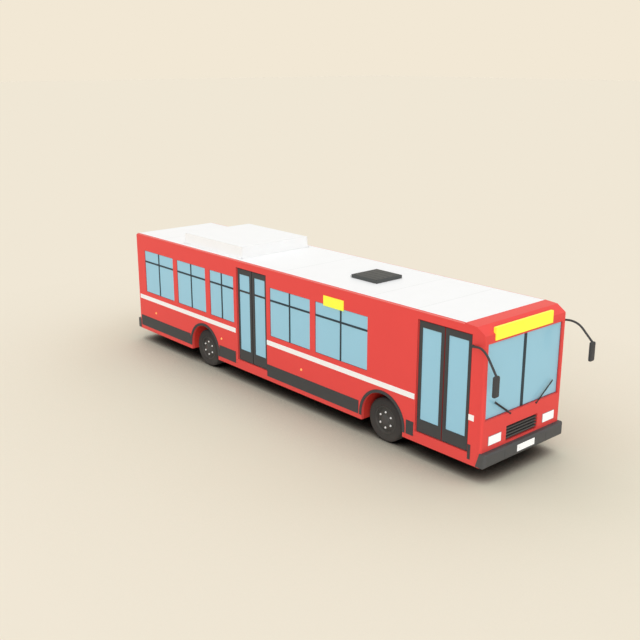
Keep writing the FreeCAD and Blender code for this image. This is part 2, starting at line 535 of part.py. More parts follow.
# Door leaves: a dark frame with one tall pane, hung on a full-height pin at the outer edge.
def door_leaf(door, which):
    low, high = DOORWAYS[door]
    stile = f"{door}_stile"
    middle = f"(({low})+({high}))/2"
    rear_axis, front_axis = leaf_axes(door)
    if which == "rear":
        span = (f"{low}+leaf_gap", f"{middle}-meeting_gap/2")
        glass = (f"{low}+leaf_gap+{stile}", f"{middle}-meeting_gap/2-leaf_meeting")
        axis = rear_axis
    else:
        span = (f"{middle}+meeting_gap/2", f"{high}-leaf_gap")
        glass = (f"{middle}+meeting_gap/2+leaf_meeting", f"{high}-leaf_gap-{stile}")
        axis = front_axis
    name = f"{door}_{which}_leaf"
    depth = (f"{LEAF_Y}-leaf_thick/2", f"{LEAF_Y}+leaf_thick/2")
    upright = ("door_sill+leaf_gap", "door_head-leaf_gap")
    window = ("door_sill+leaf_gap+leaf_foot", "door_head-leaf_gap-leaf_top")
    plate = block(name + "_plate", span, depth, upright)
    hole = block(name + "_hole", glass, (f"{depth[0]}-1", f"{depth[1]}+1"), window)
    parts = [cut(name + "_frame", plate, [hole]),
             rod(name + "_pin", "z", (axis, LEAF_Y, "door_sill-hinge_socket+1"), "hinge_pin",
                 "door_head-door_sill+hinge_socket*2-2")]
    if door == "mid":
        parts.append(block(name + "_rail", glass, (f"{depth[0]}+3", f"{LEAF_Y}-pane_thick/2"),
                           ("window_bar_height-bar_wide/2", "window_bar_height+bar_wide/2")))
    node(fuse(name + "_whole", parts), f"{door}_door_{which}_leaf")
    node(block(name + "_pane", glass, (f"{LEAF_Y}-pane_thick/2", f"{LEAF_Y}+pane_thick/2"), window),
         f"{door}_door_{which}_glass")


for door in DOORWAYS:
    for which in ("rear", "front"):
        door_leaf(door, which)

# Skirt bands, stripes, arch trims and markers, standing slightly proud of the side walls.
REAR_ARCH = (f"{REAR_AXLE}-arch_radius-arch_trim", f"{REAR_AXLE}+arch_radius+arch_trim")
FRONT_ARCH = (f"{FRONT_AXLE}-arch_radius-arch_trim", f"{FRONT_AXLE}+arch_radius+arch_trim")
NOSE_STRIP = (f"{FRONT_DOOR[1]}+band_after_door", f"{FRONT_DOOR[1]}+band_after_door+tail_strip")
BANDS = {"-": [(f"{REAR}+band_start", REAR_ARCH[0]), (REAR_ARCH[1], f"{MID_DOOR[0]}-door_margin"),
               (f"{MID_DOOR[1]}+band_after_door", f"{FRONT_ARCH[0]}-band_gap"),
               (f"{FRONT_ARCH[1]}+band_gap", f"{FRONT_DOOR[0]}-door_margin/2"), NOSE_STRIP],
         "": [(f"{REAR}+band_start", REAR_ARCH[0]), (REAR_ARCH[1], f"{FRONT_ARCH[0]}-band_gap"),
              (f"{FRONT_ARCH[1]}+band_gap", NOSE_STRIP[1])]}
STRIPES = {"-": [(f"{REAR}+end_wall", f"{MID_DOOR[0]}-stripe_before_door"),
                 (f"{MID_DOOR[1]}+band_after_door", f"{FRONT_DOOR[0]}-stripe_before_door/2"),
                 (FRONT_DOOR[1], f"{FRONT_DOOR[1]}+nose_strip_len")],
           "": [(f"{REAR}+end_wall", f"{FRONT_DOOR[1]}+nose_strip_len")]}


def on_side(sign, proud):
    """The thin layer that lies on one side wall's outer face."""
    return (f"-{SIDE}-{proud}", f"-{SIDE}") if sign == "-" else (SIDE, f"{SIDE}+{proud}")


def side_strips(name, layout, proud, low, high):
    strips = []
    for sign, spans in layout.items():
        side = "right" if sign == "-" else "left"
        for k, span in enumerate(spans):
            strips.append(block(f"{name}_{side}_{k}", span, on_side(sign, proud), (low, high)))
    return group(name, strips)


node(side_strips("bands", BANDS, "band_proud", "band_low", "band_high"), "skirt_bands")
node(side_strips("stripes", STRIPES, "stripe_proud", "stripe_low", "stripe_high"), "side_stripes")

trims = []
for end, x in (("rear", REAR_AXLE), ("front", FRONT_AXLE)):
    for side, sign in (("right", "-"), ("left", "")):
        name = f"trim_{end}_{side}"
        layer = on_side(sign, "arch_trim_proud")
        outer = fuse(name + "_outer", [
            rod(name + "_ring", "y", (x, layer[0], "arch_height"), "arch_radius+arch_trim", "arch_trim_proud"),
            block(name + "_legs", (f"{x}-arch_radius-arch_trim", f"{x}+arch_radius+arch_trim"), layer,
                  ("band_low", "arch_height"))])
        inner = fuse(name + "_inner", [
            rod(name + "_hole", "y", (x, f"{layer[0]}-1", "arch_height"), "arch_radius", "arch_trim_proud+2"),
            block(name + "_gap", (f"{x}-arch_radius", f"{x}+arch_radius"),
                  (f"{layer[0]}-1", f"{layer[1]}+1"), ("0", "arch_height")),
            block(name + "_under", (f"{x}-arch_radius*2", f"{x}+arch_radius*2"),
                  (f"{layer[0]}-1", f"{layer[1]}+1"), ("0-arch_radius", "band_low"))])
        trims.append(cut(name, outer, [inner]))
node(group("trims_all", trims), "arch_trims")

markers = []
for side, sign in (("right", "-"), ("left", "")):
    for key in ("a", "b", "c"):
        layer = on_side(sign, "marker_proud")
        markers.append(rod(f"marker_{side}_{key}", "y", (f"{REAR}+marker_{key}_pos", layer[0], "marker_height"),
                           "marker_radius", "marker_proud"))
node(group("markers_all", markers), "side_markers")

# Route signs: one on the side over a window, and a board that stands up before the brow.
side_sign = block("side_sign", (f"{REAR}+side_sign_pos", f"{REAR}+side_sign_pos+side_sign_len"),
                  on_side("-", "sign_thick"), ("side_sign_low", "side_sign_high"))
LEAN = "(crease_back/(crease_height-waist_height))"
crease_x = f"({FRONT}-crease_back)"
low_x = f"({FRONT}-{LEAN}*(front_sign_low-waist_height))"
top_x = f"({low_x}+sign_thick-{LEAN}*(front_sign_high-front_sign_low))"
behind = "(front_sign_board-sign_thick)"
brow_slope = "((brow_height-crease_height)/(brow_back-crease_back))"
front_sign = prism("front_sign", "XZ_Plane", [
    (low_x, "front_sign_low"), (f"{low_x}+sign_thick", "front_sign_low"), (top_x, "front_sign_high"),
    (f"{top_x}-front_sign_board", "front_sign_high"),
    (f"{crease_x}-{behind}", f"crease_height+{behind}*{brow_slope}"), (crease_x, "crease_height")],
    "-front_sign_right", "front_sign_right+front_sign_left")
node(group("signs_all", [side_sign, front_sign]), "route_signs")

# Grille: slats on a dark back plate, sunk in the front panel.
grille_parts = [block("grille_back_plate", (f"{FRONT}-end_wall", f"{FRONT}-grille_depth"),
                      ("-grille_half", "grille_half"), ("grille_low", "grille_high"))]
for k in range(4):
    height = f"grille_low+46+slat_pitch*{k}"
    grille_parts.append(block(f"slat_{k}", (f"{FRONT}-grille_depth-1", f"{FRONT}-14"),
                              ("-grille_half+8", "grille_half-8"), (height, f"{height}+slat_thick")))
node(fuse("grille_whole", grille_parts), "front_grille")

# Lamps.
head_lamps = []
for side, sign in (("right", "-"), ("left", "")):
    span = ("-lamp_outer", "-lamp_inner") if sign == "-" else ("lamp_inner", "lamp_outer")
    head_lamps.append(block(f"head_lamp_{side}", (FRONT, f"{FRONT}+lamp_proud"), span,
                            ("lamp_low", "lamp_high")))
node(group("head_lamps_all", head_lamps), "head_lamps")
tail_lamps = []
for side, sign in (("right", "-"), ("left", "")):
    span = ("-rear_lamp_outer", "-rear_lamp_inner") if sign == "-" else ("rear_lamp_inner", "rear_lamp_outer")
    for k in range(3):
        low = f"rear_lamp_low+rear_lamp_step*{k}"
        tail_lamps.append(block(f"tail_lamp_{side}_{k}", (f"{REAR}-lamp_proud", REAR), span,
                                (low, f"{low}+rear_lamp_unit")))
node(group("tail_lamps_all", tail_lamps), "tail_lamps")


# Bumpers wrap round both ends, rounded in plan, bevelled at top and bottom.
def bumper(name, points, ahead, low, high):
    """Side profile across the bus, cut to a rounded plan and to the body it sits on."""
    side = f"({SIDE}+bumper_side)"
    bar = prism(name + "_bar", "XZ_Plane", points, f"-{side}", f"{side}*2")
    x0, x1 = (f"{REAR}-rear_bumper_out", f"{REAR}+600") if ahead == "-" else (f"{FRONT}-600", f"{FRONT}+bumper_out")
    nose = f"{x0}+bumper_round" if ahead == "-" else f"{x1}-bumper_round"
    shrunk = (nose, x1) if ahead == "-" else (x0, nose)
    plan = [block(name + "_plan_wide", shrunk, (f"-{side}", side), (low, high)),
            block(name + "_plan_long", (x0, x1), (f"-({side}-bumper_round)", f"{side}-bumper_round"),
                  (low, high))]
    for hand, sign in (("right", "-"), ("left", "")):
        plan.append(rod(f"{name}_{hand}_round", "z", (nose, f"{sign}({side}-bumper_round)", low),
                        "bumper_round", f"({high})-({low})"))
    shape = common(name + "_shape", [bar, fuse(name + "_plan", plan)])
    return cut(name, shape, [rounded_plan(name + "_body", f"{low}-1", f"{high}+1")])


front_x = f"({FRONT}+bumper_out)"
wrap_x = f"({FRONT}-bumper_wrap)"
node(bumper("front_bumper_solid", [
    (f"{wrap_x}+bumper_rake", "bumper_high"), (f"{front_x}-bumper_bevel", "bumper_high"),
    (front_x, "bumper_high-bumper_bevel"), (front_x, "bumper_low+bumper_bevel*1.6"),
    (f"{front_x}-bumper_bevel*1.6", "bumper_low"), (wrap_x, "bumper_low")], "", "bumper_low", "bumper_high"),
    "front_bumper")
back_x = f"({REAR}-rear_bumper_out)"
node(bumper("rear_bumper_solid", [
    (back_x, "bumper_low+bumper_bevel"), (f"{back_x}+bumper_bevel", "bumper_low"),
    (f"{REAR}+corner_round", "bumper_low"), (f"{REAR}+corner_round", "rear_bumper_high"),
    (f"{back_x}+bumper_bevel", "rear_bumper_high"), (back_x, "rear_bumper_high-bumper_bevel")],
    "-", "bumper_low", "rear_bumper_high"), "rear_bumper")

# Blank number plates on both bumpers.
node(group("plates_all", [
    block("front_plate", (front_x, f"{front_x}+plate_thick"), ("-plate_half", "plate_half"),
          ("plate_low", "plate_high")),
    block("rear_plate", (f"{back_x}-plate_thick", back_x), ("-plate_half", "plate_half"),
          ("plate_low", "plate_high"))]), "number_plates")

# Roof pod for the air conditioning, its walls sloped on every side.
pod = document.addObject("Part::Wedge", "pod")
pod_x = f"({REAR}+pod_pos)"
pod.Placement = FreeCAD.Placement(FreeCAD.Vector(), FreeCAD.Rotation(FreeCAD.Vector(1, 0, 0), 90))
bind(pod, Xmin="0", Xmax="pod_len", X2min="pod_slope", X2max="pod_len-pod_slope",
     Ymin="0", Ymax="pod_high", Zmin="0", Zmax="pod_half*2",
     Z2min="pod_side_slope", Z2max="pod_half*2-pod_side_slope")
place(pod, pod_x, "pod_half", "roof_height")
node(pod, "roof_pod")


# Mirrors on bent tube arms ahead of the front face.
def bent_tube(points, bend, radius):
    """A round tube along straight runs joined by tangent arcs of one radius."""
    points = [FreeCAD.Vector(*point) for point in points]
    edges = []
    start = points[0]
    for before, corner, after in zip(points, points[1:], points[2:]):
        back = (before - corner).normalize()
        ahead = (after - corner).normalize()
        half = back.getAngle(ahead) / 2
        reach = bend / math.tan(half)
        middle = (back + ahead).normalize()
        first = corner + back * reach
        last = corner + ahead * reach
        top = corner + middle * (bend / math.sin(half) - bend)
        edges.append(Part.LineSegment(start, first).toShape())
        edges.append(Part.Arc(first, top, last).toShape())
        start = last
    edges.append(Part.LineSegment(start, points[-1]).toShape())
    path = Part.Wire(edges)
    ring = Part.Wire([Part.makeCircle(radius, points[0], points[1] - points[0])])
    return path.makePipeShell([ring], True, False)


def mirror_arm(hand):
    rear = (size("rear_bumper_out") + size("plate_thick") - size("mirror_ahead")
            - size("body_length")) / 2
    front = rear + size("body_length")
    foot_x = front - size("arm_foot_back") + size("arm_foot")
    side = size("body_width") / 2
    head_x = front + size("mirror_ahead") - size("mirror_thick") / 2
    foot = (foot_x, hand * (side + size("arm_radius") + 2), size("arm_foot_height"))
    over = (foot_x + size("arm_run"), hand * (size("mirror_out") - size("arm_draw_in")),
            size("arm_foot_height") + size("arm_rise"))
    end = (head_x, hand * size("mirror_out"), size("mirror_high") - size("arm_grip"))
    tube = bent_tube([foot, over, end], size("arm_bend"), size("arm_radius"))
    flange = Part.makeCylinder(size("arm_foot"), size("arm_flange"),
                               FreeCAD.Vector(foot_x, hand * side, size("arm_foot_height")),
                               FreeCAD.Vector(0, hand, 0))
    return tube, flange


def mirror(side, sign, hand):
    tube_shape, flange_shape = mirror_arm(hand)
    tube = document.addObject("Part::Feature", f"mirror_tube_{side}")
    tube.Shape = tube_shape
    flange = document.addObject("Part::Feature", f"mirror_flange_{side}")
    flange.Shape = flange_shape
    x = (f"{FRONT}+mirror_ahead-mirror_thick", f"{FRONT}+mirror_ahead")
    middle = f"{sign}mirror_out"
    head = [block(f"mirror_head_{side}", x, (f"{middle}-mirror_wide/2", f"{middle}+mirror_wide/2"),
                  ("mirror_low+mirror_wide/4", "mirror_high-mirror_wide/4")),
            block(f"mirror_core_{side}", x, (f"{middle}-mirror_wide/4", f"{middle}+mirror_wide/4"),
                  ("mirror_low", "mirror_high"))]
    for k, y in enumerate((f"{middle}-mirror_wide/4", f"{middle}+mirror_wide/4")):
        for end, z in (("low", "mirror_low+mirror_wide/4"), ("high", "mirror_high-mirror_wide/4")):
            head.append(rod(f"mirror_round_{side}_{k}_{end}", "x", (x[0], y, z), "mirror_wide/4",
                            "mirror_thick"))
    return fuse(f"mirror_{side}", [tube, flange] + head)


node(group("mirrors_all", [mirror("right", "-", -1), mirror("left", "", 1)]), "door_mirrors")


# Wipers: a straight arm and blade on a spindle through the front panel.
def wiper(side, sign):
    face = f"({FRONT}+wiper_off)"
    pivot = (f"{sign}wiper_pivot_y", "wiper_pivot_z")
    slope = "sqrt(wiper_reach_y*wiper_reach_y+wiper_rise*wiper_rise)"
    along_y = f"{sign}wiper_reach_y"
    across_y = f"(wiper_blade/2*wiper_rise/{slope})"
    across_z = f"(wiper_blade/2*wiper_reach_y/{slope})"
    if sign == "-":
        across_y = f"(0-{across_y})"
    arm = prism(f"wiper_arm_{side}", "YZ_Plane", [
        (f"{pivot[0]}-{across_y}", f"{pivot[1]}+{across_z}"),
        (f"{pivot[0]}+{across_y}", f"{pivot[1]}-{across_z}"),
        (f"{pivot[0]}+{along_y}+{across_y}", f"{pivot[1]}+wiper_rise-{across_z}"),
        (f"{pivot[0]}+{along_y}-{across_y}", f"{pivot[1]}+wiper_rise+{across_z}")],
        face, "wiper_thick")
    boss = rod(f"wiper_boss_{side}", "x", (f"{FRONT}+seat_gap",) + pivot, "wiper_boss",
               "wiper_off+wiper_thick+4-seat_gap")
    spindle = rod(f"wiper_spindle_{side}", "x", (f"{FRONT}-end_wall",) + pivot, "wiper_spindle",
                  "end_wall+wiper_off")
    return fuse(f"wiper_{side}_whole", [arm, boss, spindle])


node(wiper("right", "-"), "wiper_right")
node(wiper("left", ""), "wiper_left")

# Engine flap on the rear panel, hung from a barrel along its top edge.
flap_sheet = block("flap_sheet", (f"{REAR}-seat_gap-flap_thick", f"{REAR}-seat_gap"),
                   ("-flap_half", "flap_half"), ("flap_low", "flap_high"))
flap_pin = rod("flap_pin", "y", (flap_axis_x, "-(flap_half-2)", flap_axis_z), "flap_barrel",
               "flap_half*2-4")
flap_neck = block("flap_neck", (f"{REAR}-seat_gap-flap_thick", f"{REAR}-seat_gap"),
                  ("-(flap_half-flap_lug-flap_notch_gap)", "flap_half-flap_lug-flap_notch_gap"),
                  ("flap_high-1", flap_axis_z))
flap_notches = []
for side, sign in (("right", "-"), ("left", "")):
    middle = f"{sign}(flap_half-flap_lug/2)"
    flap_notches.append(block(f"flap_notch_{side}", (f"{REAR}-flap_thick*3", f"{REAR}+1"),
                              (f"{middle}-flap_lug/2-flap_notch_gap", f"{middle}+flap_lug/2+flap_notch_gap"),
                              ("flap_high-flap_eye*2", "flap_high+1")))
node(fuse("flap_whole", [cut("flap_sheet_cut", flap_sheet, flap_notches), flap_pin, flap_neck]),
     "engine_flap")


# Axles. Both beams run low between the wheels and carry the wheels' centres above them.
def bellows(name, x, top_of_beam):
    pads = []
    for side, sign in (("right", "-"), ("left", "")):
        pads.append(rod(f"{name}_{side}", "z", (x, f"{sign}bellows_pos", top_of_beam), "bellows_radius",
                        f"{FLOOR_UNDER}-({top_of_beam})"))
    return pads


WHEEL_OUT = f"({SIDE}-tyre_inset)"
WHEEL_MID = f"({WHEEL_OUT}-tyre_width/2)"
KINGPIN_Y = f"({WHEEL_MID}-kingpin_offset)"
SPINDLE_END = f"({WHEEL_OUT}-disc_inset-12)"
beam_top = "(beam_height+beam_half)"
front_beam = [block("front_beam", (f"{FRONT_AXLE}-beam_half", f"{FRONT_AXLE}+beam_half"),
                    (f"-{KINGPIN_Y}", KINGPIN_Y), ("beam_height-beam_half", beam_top))]
for side, sign in (("right", "-"), ("left", "")):
    pin_at = (FRONT_AXLE, f"{sign}{KINGPIN_Y}")
    front_beam.append(rod(f"beam_eye_{side}", "z", pin_at + ("beam_height-beam_half",), "beam_half",
                          "beam_half*2"))
    front_beam.append(rod(f"kingpin_{side}", "z", pin_at + ("beam_height",), "kingpin_radius",
                          f"{AXLE_HEIGHT}-beam_height+knuckle_half+14"))
    front_beam.append(rod(f"kingpin_cap_{side}", "z",
                          pin_at + (f"{AXLE_HEIGHT}+knuckle_half+seat_gap",), "kingpin_radius*1.5", "12"))
node(fuse("front_axle_whole", front_beam + bellows("front_bellows", FRONT_AXLE, beam_top)), "front_axle")

CARRIER_Y = f"({WHEEL_OUT}-tyre_width*2-twin_gap)"
rear_beam = [rod("rear_beam", "y", (REAR_AXLE, f"-({CARRIER_Y}+60)", "beam_height"), "beam_half",
                 f"({CARRIER_Y}+60)*2"),
             block("drop_box", (f"{REAR_AXLE}-170", f"{REAR_AXLE}+170"), ("-210", "110"),
                   ("beam_height-beam_half-20", f"{FLOOR_UNDER}-12"))]
for side, sign in (("right", "-"), ("left", "")):
    near = f"-({CARRIER_Y}+90)" if sign == "-" else f"{CARRIER_Y}+15"
    far = f"-({CARRIER_Y}+15)" if sign == "-" else f"{CARRIER_Y}+90"
    rear_beam.append(block(f"carrier_{side}", (f"{REAR_AXLE}-85", f"{REAR_AXLE}+85"), (near, far),
                           ("beam_height-beam_half", f"{AXLE_HEIGHT}+80")))
    start = f"-({SPINDLE_END})" if sign == "-" else f"{CARRIER_Y}+20"
    rear_beam.append(rod(f"rear_spindle_{side}", "y", (REAR_AXLE, start, AXLE_HEIGHT), "spindle_radius",
                         f"{SPINDLE_END}-{CARRIER_Y}-20"))
node(fuse("rear_axle_whole", rear_beam + bellows("rear_bellows", f"{REAR_AXLE}", "beam_height")), "rear_axle")

# Steering knuckles turn on the kingpins and carry the front spindles.
for side, sign in (("left", ""), ("right", "-")):
    centre = f"{sign}{KINGPIN_Y}"
    start = f"-({SPINDLE_END})" if sign == "-" else f"{KINGPIN_Y}+kingpin_radius+8"
    housing = block(f"knuckle_{side}_block", (f"{FRONT_AXLE}-knuckle_half", f"{FRONT_AXLE}+knuckle_half"),
                    (f"{centre}-knuckle_half", f"{centre}+knuckle_half"),
                    (f"{beam_top}+seat_gap", f"{AXLE_HEIGHT}+knuckle_half"))
    spindle = rod(f"knuckle_{side}_spindle", "y", (FRONT_AXLE, start, AXLE_HEIGHT), "spindle_radius",
                  f"{SPINDLE_END}-{KINGPIN_Y}-kingpin_radius-8")
    bore = rod(f"knuckle_{side}_bore", "z", (FRONT_AXLE, centre, beam_top), "kingpin_radius+run_gap",
               f"{AXLE_HEIGHT}+knuckle_half-{beam_top}+5")
    node(cut(f"knuckle_{side}_whole", fuse(f"knuckle_{side}_raw", [housing, spindle]), [bore]),
         f"steering_knuckle_{side}")


# Wheels. A tyre is a bevelled ring; a rim is a drum with a closed disc and a hub at its outer end.
def tyre(name, x, start):
    """A tyre whose lower-Y face is at start."""
    bevel = "tyre_shoulder"
    body = fuse(name + "_body", [
        rod(name + "_tread", "y", (x, f"{start}+{bevel}", AXLE_HEIGHT), "tyre_radius",
            f"tyre_width-{bevel}*2"),
        cone(name + "_low", "y", (x, start, AXLE_HEIGHT), f"tyre_radius-{bevel}", "tyre_radius", bevel),
        cone(name + "_high", "y", (x, f"{start}+tyre_width-{bevel}", AXLE_HEIGHT), "tyre_radius",
             f"tyre_radius-{bevel}", bevel)])
    hole = rod(name + "_hole", "y", (x, f"{start}-1", AXLE_HEIGHT), "rim_radius+seat_gap", "tyre_width+2")
    return cut(name, body, [hole])


def rim(name, x, sign, drum_length, outer_y):
    """Drum open towards the axle, its disc near the side wall; outer_y is the disc's station."""
    drum_start = f"-{outer_y}" if sign == "-" else f"{outer_y}-{drum_length}"
    hollow_start = f"-{outer_y}+disc_thick" if sign == "-" else f"{outer_y}-{drum_length}-1"
    drum = rod(name + "_drum", "y", (x, drum_start, AXLE_HEIGHT), "rim_radius", drum_length)
    hollow = rod(name + "_hollow", "y", (x, hollow_start, AXLE_HEIGHT), "rim_radius-rim_wall",
                 f"{drum_length}-disc_thick+1")
    hub_length = "(disc_thick+90)"
    hub_start = f"-{outer_y}-8" if sign == "-" else f"{outer_y}+8-{hub_length}"
    hub = rod(name + "_hub", "y", (x, hub_start, AXLE_HEIGHT), "hub_radius", hub_length)
    bore_start = f"-{outer_y}+8" if sign == "-" else f"{outer_y}-8-{hub_length}"
    bore = rod(name + "_bore", "y", (x, bore_start, AXLE_HEIGHT), "spindle_radius+run_gap", hub_length)
    return cut(name, fuse(name + "_whole", [cut(name + "_shell", drum, [hollow]), hub]), [bore])


DISC_Y = f"({WHEEL_OUT}-disc_inset)"
for side, sign in (("left", ""), ("right", "-")):
    outer_low = f"-{WHEEL_OUT}" if sign == "-" else f"{WHEEL_OUT}-tyre_width"
    inner_low = (f"-{WHEEL_OUT}+tyre_width+twin_gap" if sign == "-"
                 else f"{WHEEL_OUT}-tyre_width*2-twin_gap")
    node(tyre(f"front_tyre_{side}_solid", FRONT_AXLE, outer_low), f"front_tyre_{side}")
    node(rim(f"front_rim_{side}_solid", FRONT_AXLE, sign, "(tyre_width-disc_inset*2)", DISC_Y),
         f"front_rim_{side}")
    node(group(f"rear_tyres_{side}_all", [tyre(f"rear_outer_{side}", REAR_AXLE, outer_low),
                                          tyre(f"rear_inner_{side}", REAR_AXLE, inner_low)]),
         f"rear_tyres_{side}")
    node(rim(f"rear_rim_{side}_solid", REAR_AXLE, sign, "(tyre_width*2+twin_gap-disc_inset*2)", DISC_Y),
         f"rear_rim_{side}")


# Cabin fittings: seats in pairs on pedestals, driver's seat, dashboard, steering wheel, poles.
def seat(name, x, y, floor):
    """A pad, back and pedestal as one solid; x is the pad's rear edge, y its two sides."""
    pad = block(name + "_pad", (x, f"{x}+seat_depth"), y,
                (f"{floor}+seat_height-seat_pad", f"{floor}+seat_height"))
    back = block(name + "_back", (x, f"{x}+seat_pad"), y,
                 (f"{floor}+seat_height-seat_pad", f"{floor}+seat_height+seat_back"))
    middle = f"(({y[0]})+({y[1]}))/2"
    foot = block(name + "_foot", (f"{x}+seat_pad", f"{x}+seat_pad+seat_foot"),
                 (f"{middle}-seat_foot/2", f"{middle}+seat_foot/2"), (floor, f"{floor}+seat_height"))
    return fuse(name, [pad, back, foot])


LEFT_SEATS = (f"{INNER}-seat_wall_gap-seat_wide", f"{INNER}-seat_wall_gap")
RIGHT_SEATS = (f"-{INNER}+seat_wall_gap", f"-{INNER}+seat_wall_gap+seat_wide")
seats = []
house = size("arch_radius") + size("house_wall")
left_run = size("wheelbase") - house * 2 - size("seat_first_gap")
right_run = left_run + size("rear_axle_pos") + house - size("mid_door_pos") - size("mid_door_len") - size("door_pole_gap")
for k in range(int(left_run // size("seat_pitch"))):
    start = f"({REAR_AXLE}+arch_radius+house_wall+seat_first_gap+seat_pitch*{k})"
    seats.append(seat(f"seat_left_{k}", start, LEFT_SEATS, "floor_top"))
for k in range(int(right_run // size("seat_pitch"))):
    start = f"({MID_DOOR[1]}+door_pole_gap+seat_first_gap+seat_pitch*{k})"
    seats.append(seat(f"seat_right_{k}", start, RIGHT_SEATS, "floor_top"))
for k in range(int((size("podium_end") - size("end_wall") - size("seat_high_start")) // size("seat_pitch"))):
    start = f"({REAR}+end_wall+seat_high_start+seat_pitch*{k})"
    seats.append(seat(f"seat_high_left_{k}", start, LEFT_SEATS, "podium_top"))
    seats.append(seat(f"seat_high_right_{k}", start, RIGHT_SEATS, "podium_top"))
DRIVER_Y = ("cab_floor_side+driver_seat_side", "cab_floor_side+driver_seat_side+driver_seat_wide")
seats.append(seat("seat_driver", f"({FRONT}-end_wall-cab_floor_len+driver_seat_start)", DRIVER_Y,
                  "cab_floor_top"))
node(group("seats_all", seats), "seats")

dash_back = f"({FRONT}-end_wall-dash_depth)"
node(cut("dash_solid", block("dash_block", (dash_back, f"{FRONT}-end_wall"),
                             ("cab_floor_side-dash_side", INNER), ("cab_floor_top", "dash_height")),
         [block("dash_knees", (f"{dash_back}-1", f"{dash_back}+knee_depth"),
                ("cab_floor_side+knee_side", f"{INNER}-knee_side"),
                ("cab_floor_top-1", "dash_height-knee_drop"))]),
     "dashboard")

steer_x = f"({FRONT}-end_wall-wheel_back)"
steer_y = "(cab_floor_side+driver_seat_side+driver_seat_wide/2)"
ring = document.addObject("Part::Torus", "steer_ring")
bind(ring, Radius1="wheel_ring", Radius2="wheel_tube")
place(ring, steer_x, steer_y, "wheel_height")
steer_parts = [ring,
               block("steer_spoke", (f"{steer_x}-wheel_tube", f"{steer_x}+wheel_tube"),
                     (f"{steer_y}-wheel_ring", f"{steer_y}+wheel_ring"),
                     ("wheel_height-wheel_tube/2", "wheel_height+wheel_tube/2")),
               rod("steer_column", "z", (steer_x, steer_y, "dash_height-120"), "wheel_tube*2",
                   "wheel_height-dash_height+120"),
               block("steer_bracket", (steer_x, f"{dash_back}"), (f"{steer_y}-40", f"{steer_y}+40"),
                     ("dash_height-120", "dash_height-60"))]
node(fuse("steer_whole", steer_parts), "steering_wheel")

poles = []
for k, x in enumerate((f"{MID_DOOR[0]}-door_pole_gap", f"{MID_DOOR[1]}+door_pole_gap",
                       f"{FRONT_DOOR[0]}-door_pole_gap")):
    poles.append(rod(f"pole_right_{k}", "z", (x, "-pole_pos", "floor_top"), "pole_radius",
                     f"{ROOF_SEAT}-floor_top"))
node(group("poles_all", poles), "grab_poles")

document.recompute()
broken = [item.Name for item in document.Objects if "Invalid" in item.State or "Error" in item.State]
for item in NODES:
    if item.Shape.isNull() or not item.Shape.isValid() or not item.Shape.Solids:
        broken.append(item.Label)
if broken:
    raise RuntimeError("objects that failed: " + ", ".join(broken))

os.makedirs("parts", exist_ok=True)
for item in NODES:
    item.Shape.exportStep(f"parts/{item.Label}.step")
print(len(NODES), "sub-parts written")
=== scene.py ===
import math

import bmesh
import bpy
from mathutils import Matrix, Vector


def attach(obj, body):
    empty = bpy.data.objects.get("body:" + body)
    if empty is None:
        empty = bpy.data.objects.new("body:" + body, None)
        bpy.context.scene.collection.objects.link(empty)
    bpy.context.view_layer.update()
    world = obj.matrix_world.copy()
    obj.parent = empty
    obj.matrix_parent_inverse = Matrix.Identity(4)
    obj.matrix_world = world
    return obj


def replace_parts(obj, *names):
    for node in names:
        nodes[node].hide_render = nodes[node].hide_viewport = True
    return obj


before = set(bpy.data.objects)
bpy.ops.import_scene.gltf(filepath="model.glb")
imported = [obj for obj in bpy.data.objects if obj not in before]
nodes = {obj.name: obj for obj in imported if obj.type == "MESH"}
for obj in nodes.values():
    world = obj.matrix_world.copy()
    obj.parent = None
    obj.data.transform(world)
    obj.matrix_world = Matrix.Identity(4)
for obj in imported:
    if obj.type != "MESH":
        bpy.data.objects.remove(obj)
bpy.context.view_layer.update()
scene = bpy.context.scene
scene.view_settings.view_transform = "Standard"

# Camera. It stands off the front right corner, above roof height, as the photograph was
# taken, and looks down along the door side.
camera_data = bpy.data.cameras.new("camera")
camera_data.sensor_width = 36
camera_data.lens = 50.29
camera_data.clip_end = 600
camera = bpy.data.objects.new("camera", camera_data)
camera.location = (15.594, -13.674, 7.77)
camera.rotation_euler = (math.radians(73.712), 0, math.radians(48.717))
scene.collection.objects.link(camera)
scene.camera = camera

# Studio. One pale cream floor, clear from below, runs out to a cream sky. The floor's colour
# carries painted shade: it darkens towards black where the object closes it in. Most light falls
# from high up in the sky; a low soft lamp on the camera's side fills the walls, but not the floor.
CREAM = (0.888, 0.806, 0.665, 1)


def feed(tree, node, inputs):
    """Fill a node's inputs, each from a value or from another node's socket."""
    for place, value in inputs.items():
        if isinstance(value, bpy.types.NodeSocket):
            tree.links.new(value, node.inputs[place])
        else:
            node.inputs[place].default_value = value
    return node


def add(tree, kind, inputs=None, **settings):
    """Add a shader node to a tree, with its settings and inputs."""
    node = tree.nodes.new("ShaderNode" + kind)
    for label, value in settings.items():
        setattr(node, label, value)
    return feed(tree, node, inputs or {})


def tune(material, inputs):
    """Fill inputs of a material's own shader."""
    return feed(material.node_tree, material.node_tree.nodes["Principled BSDF"], inputs)


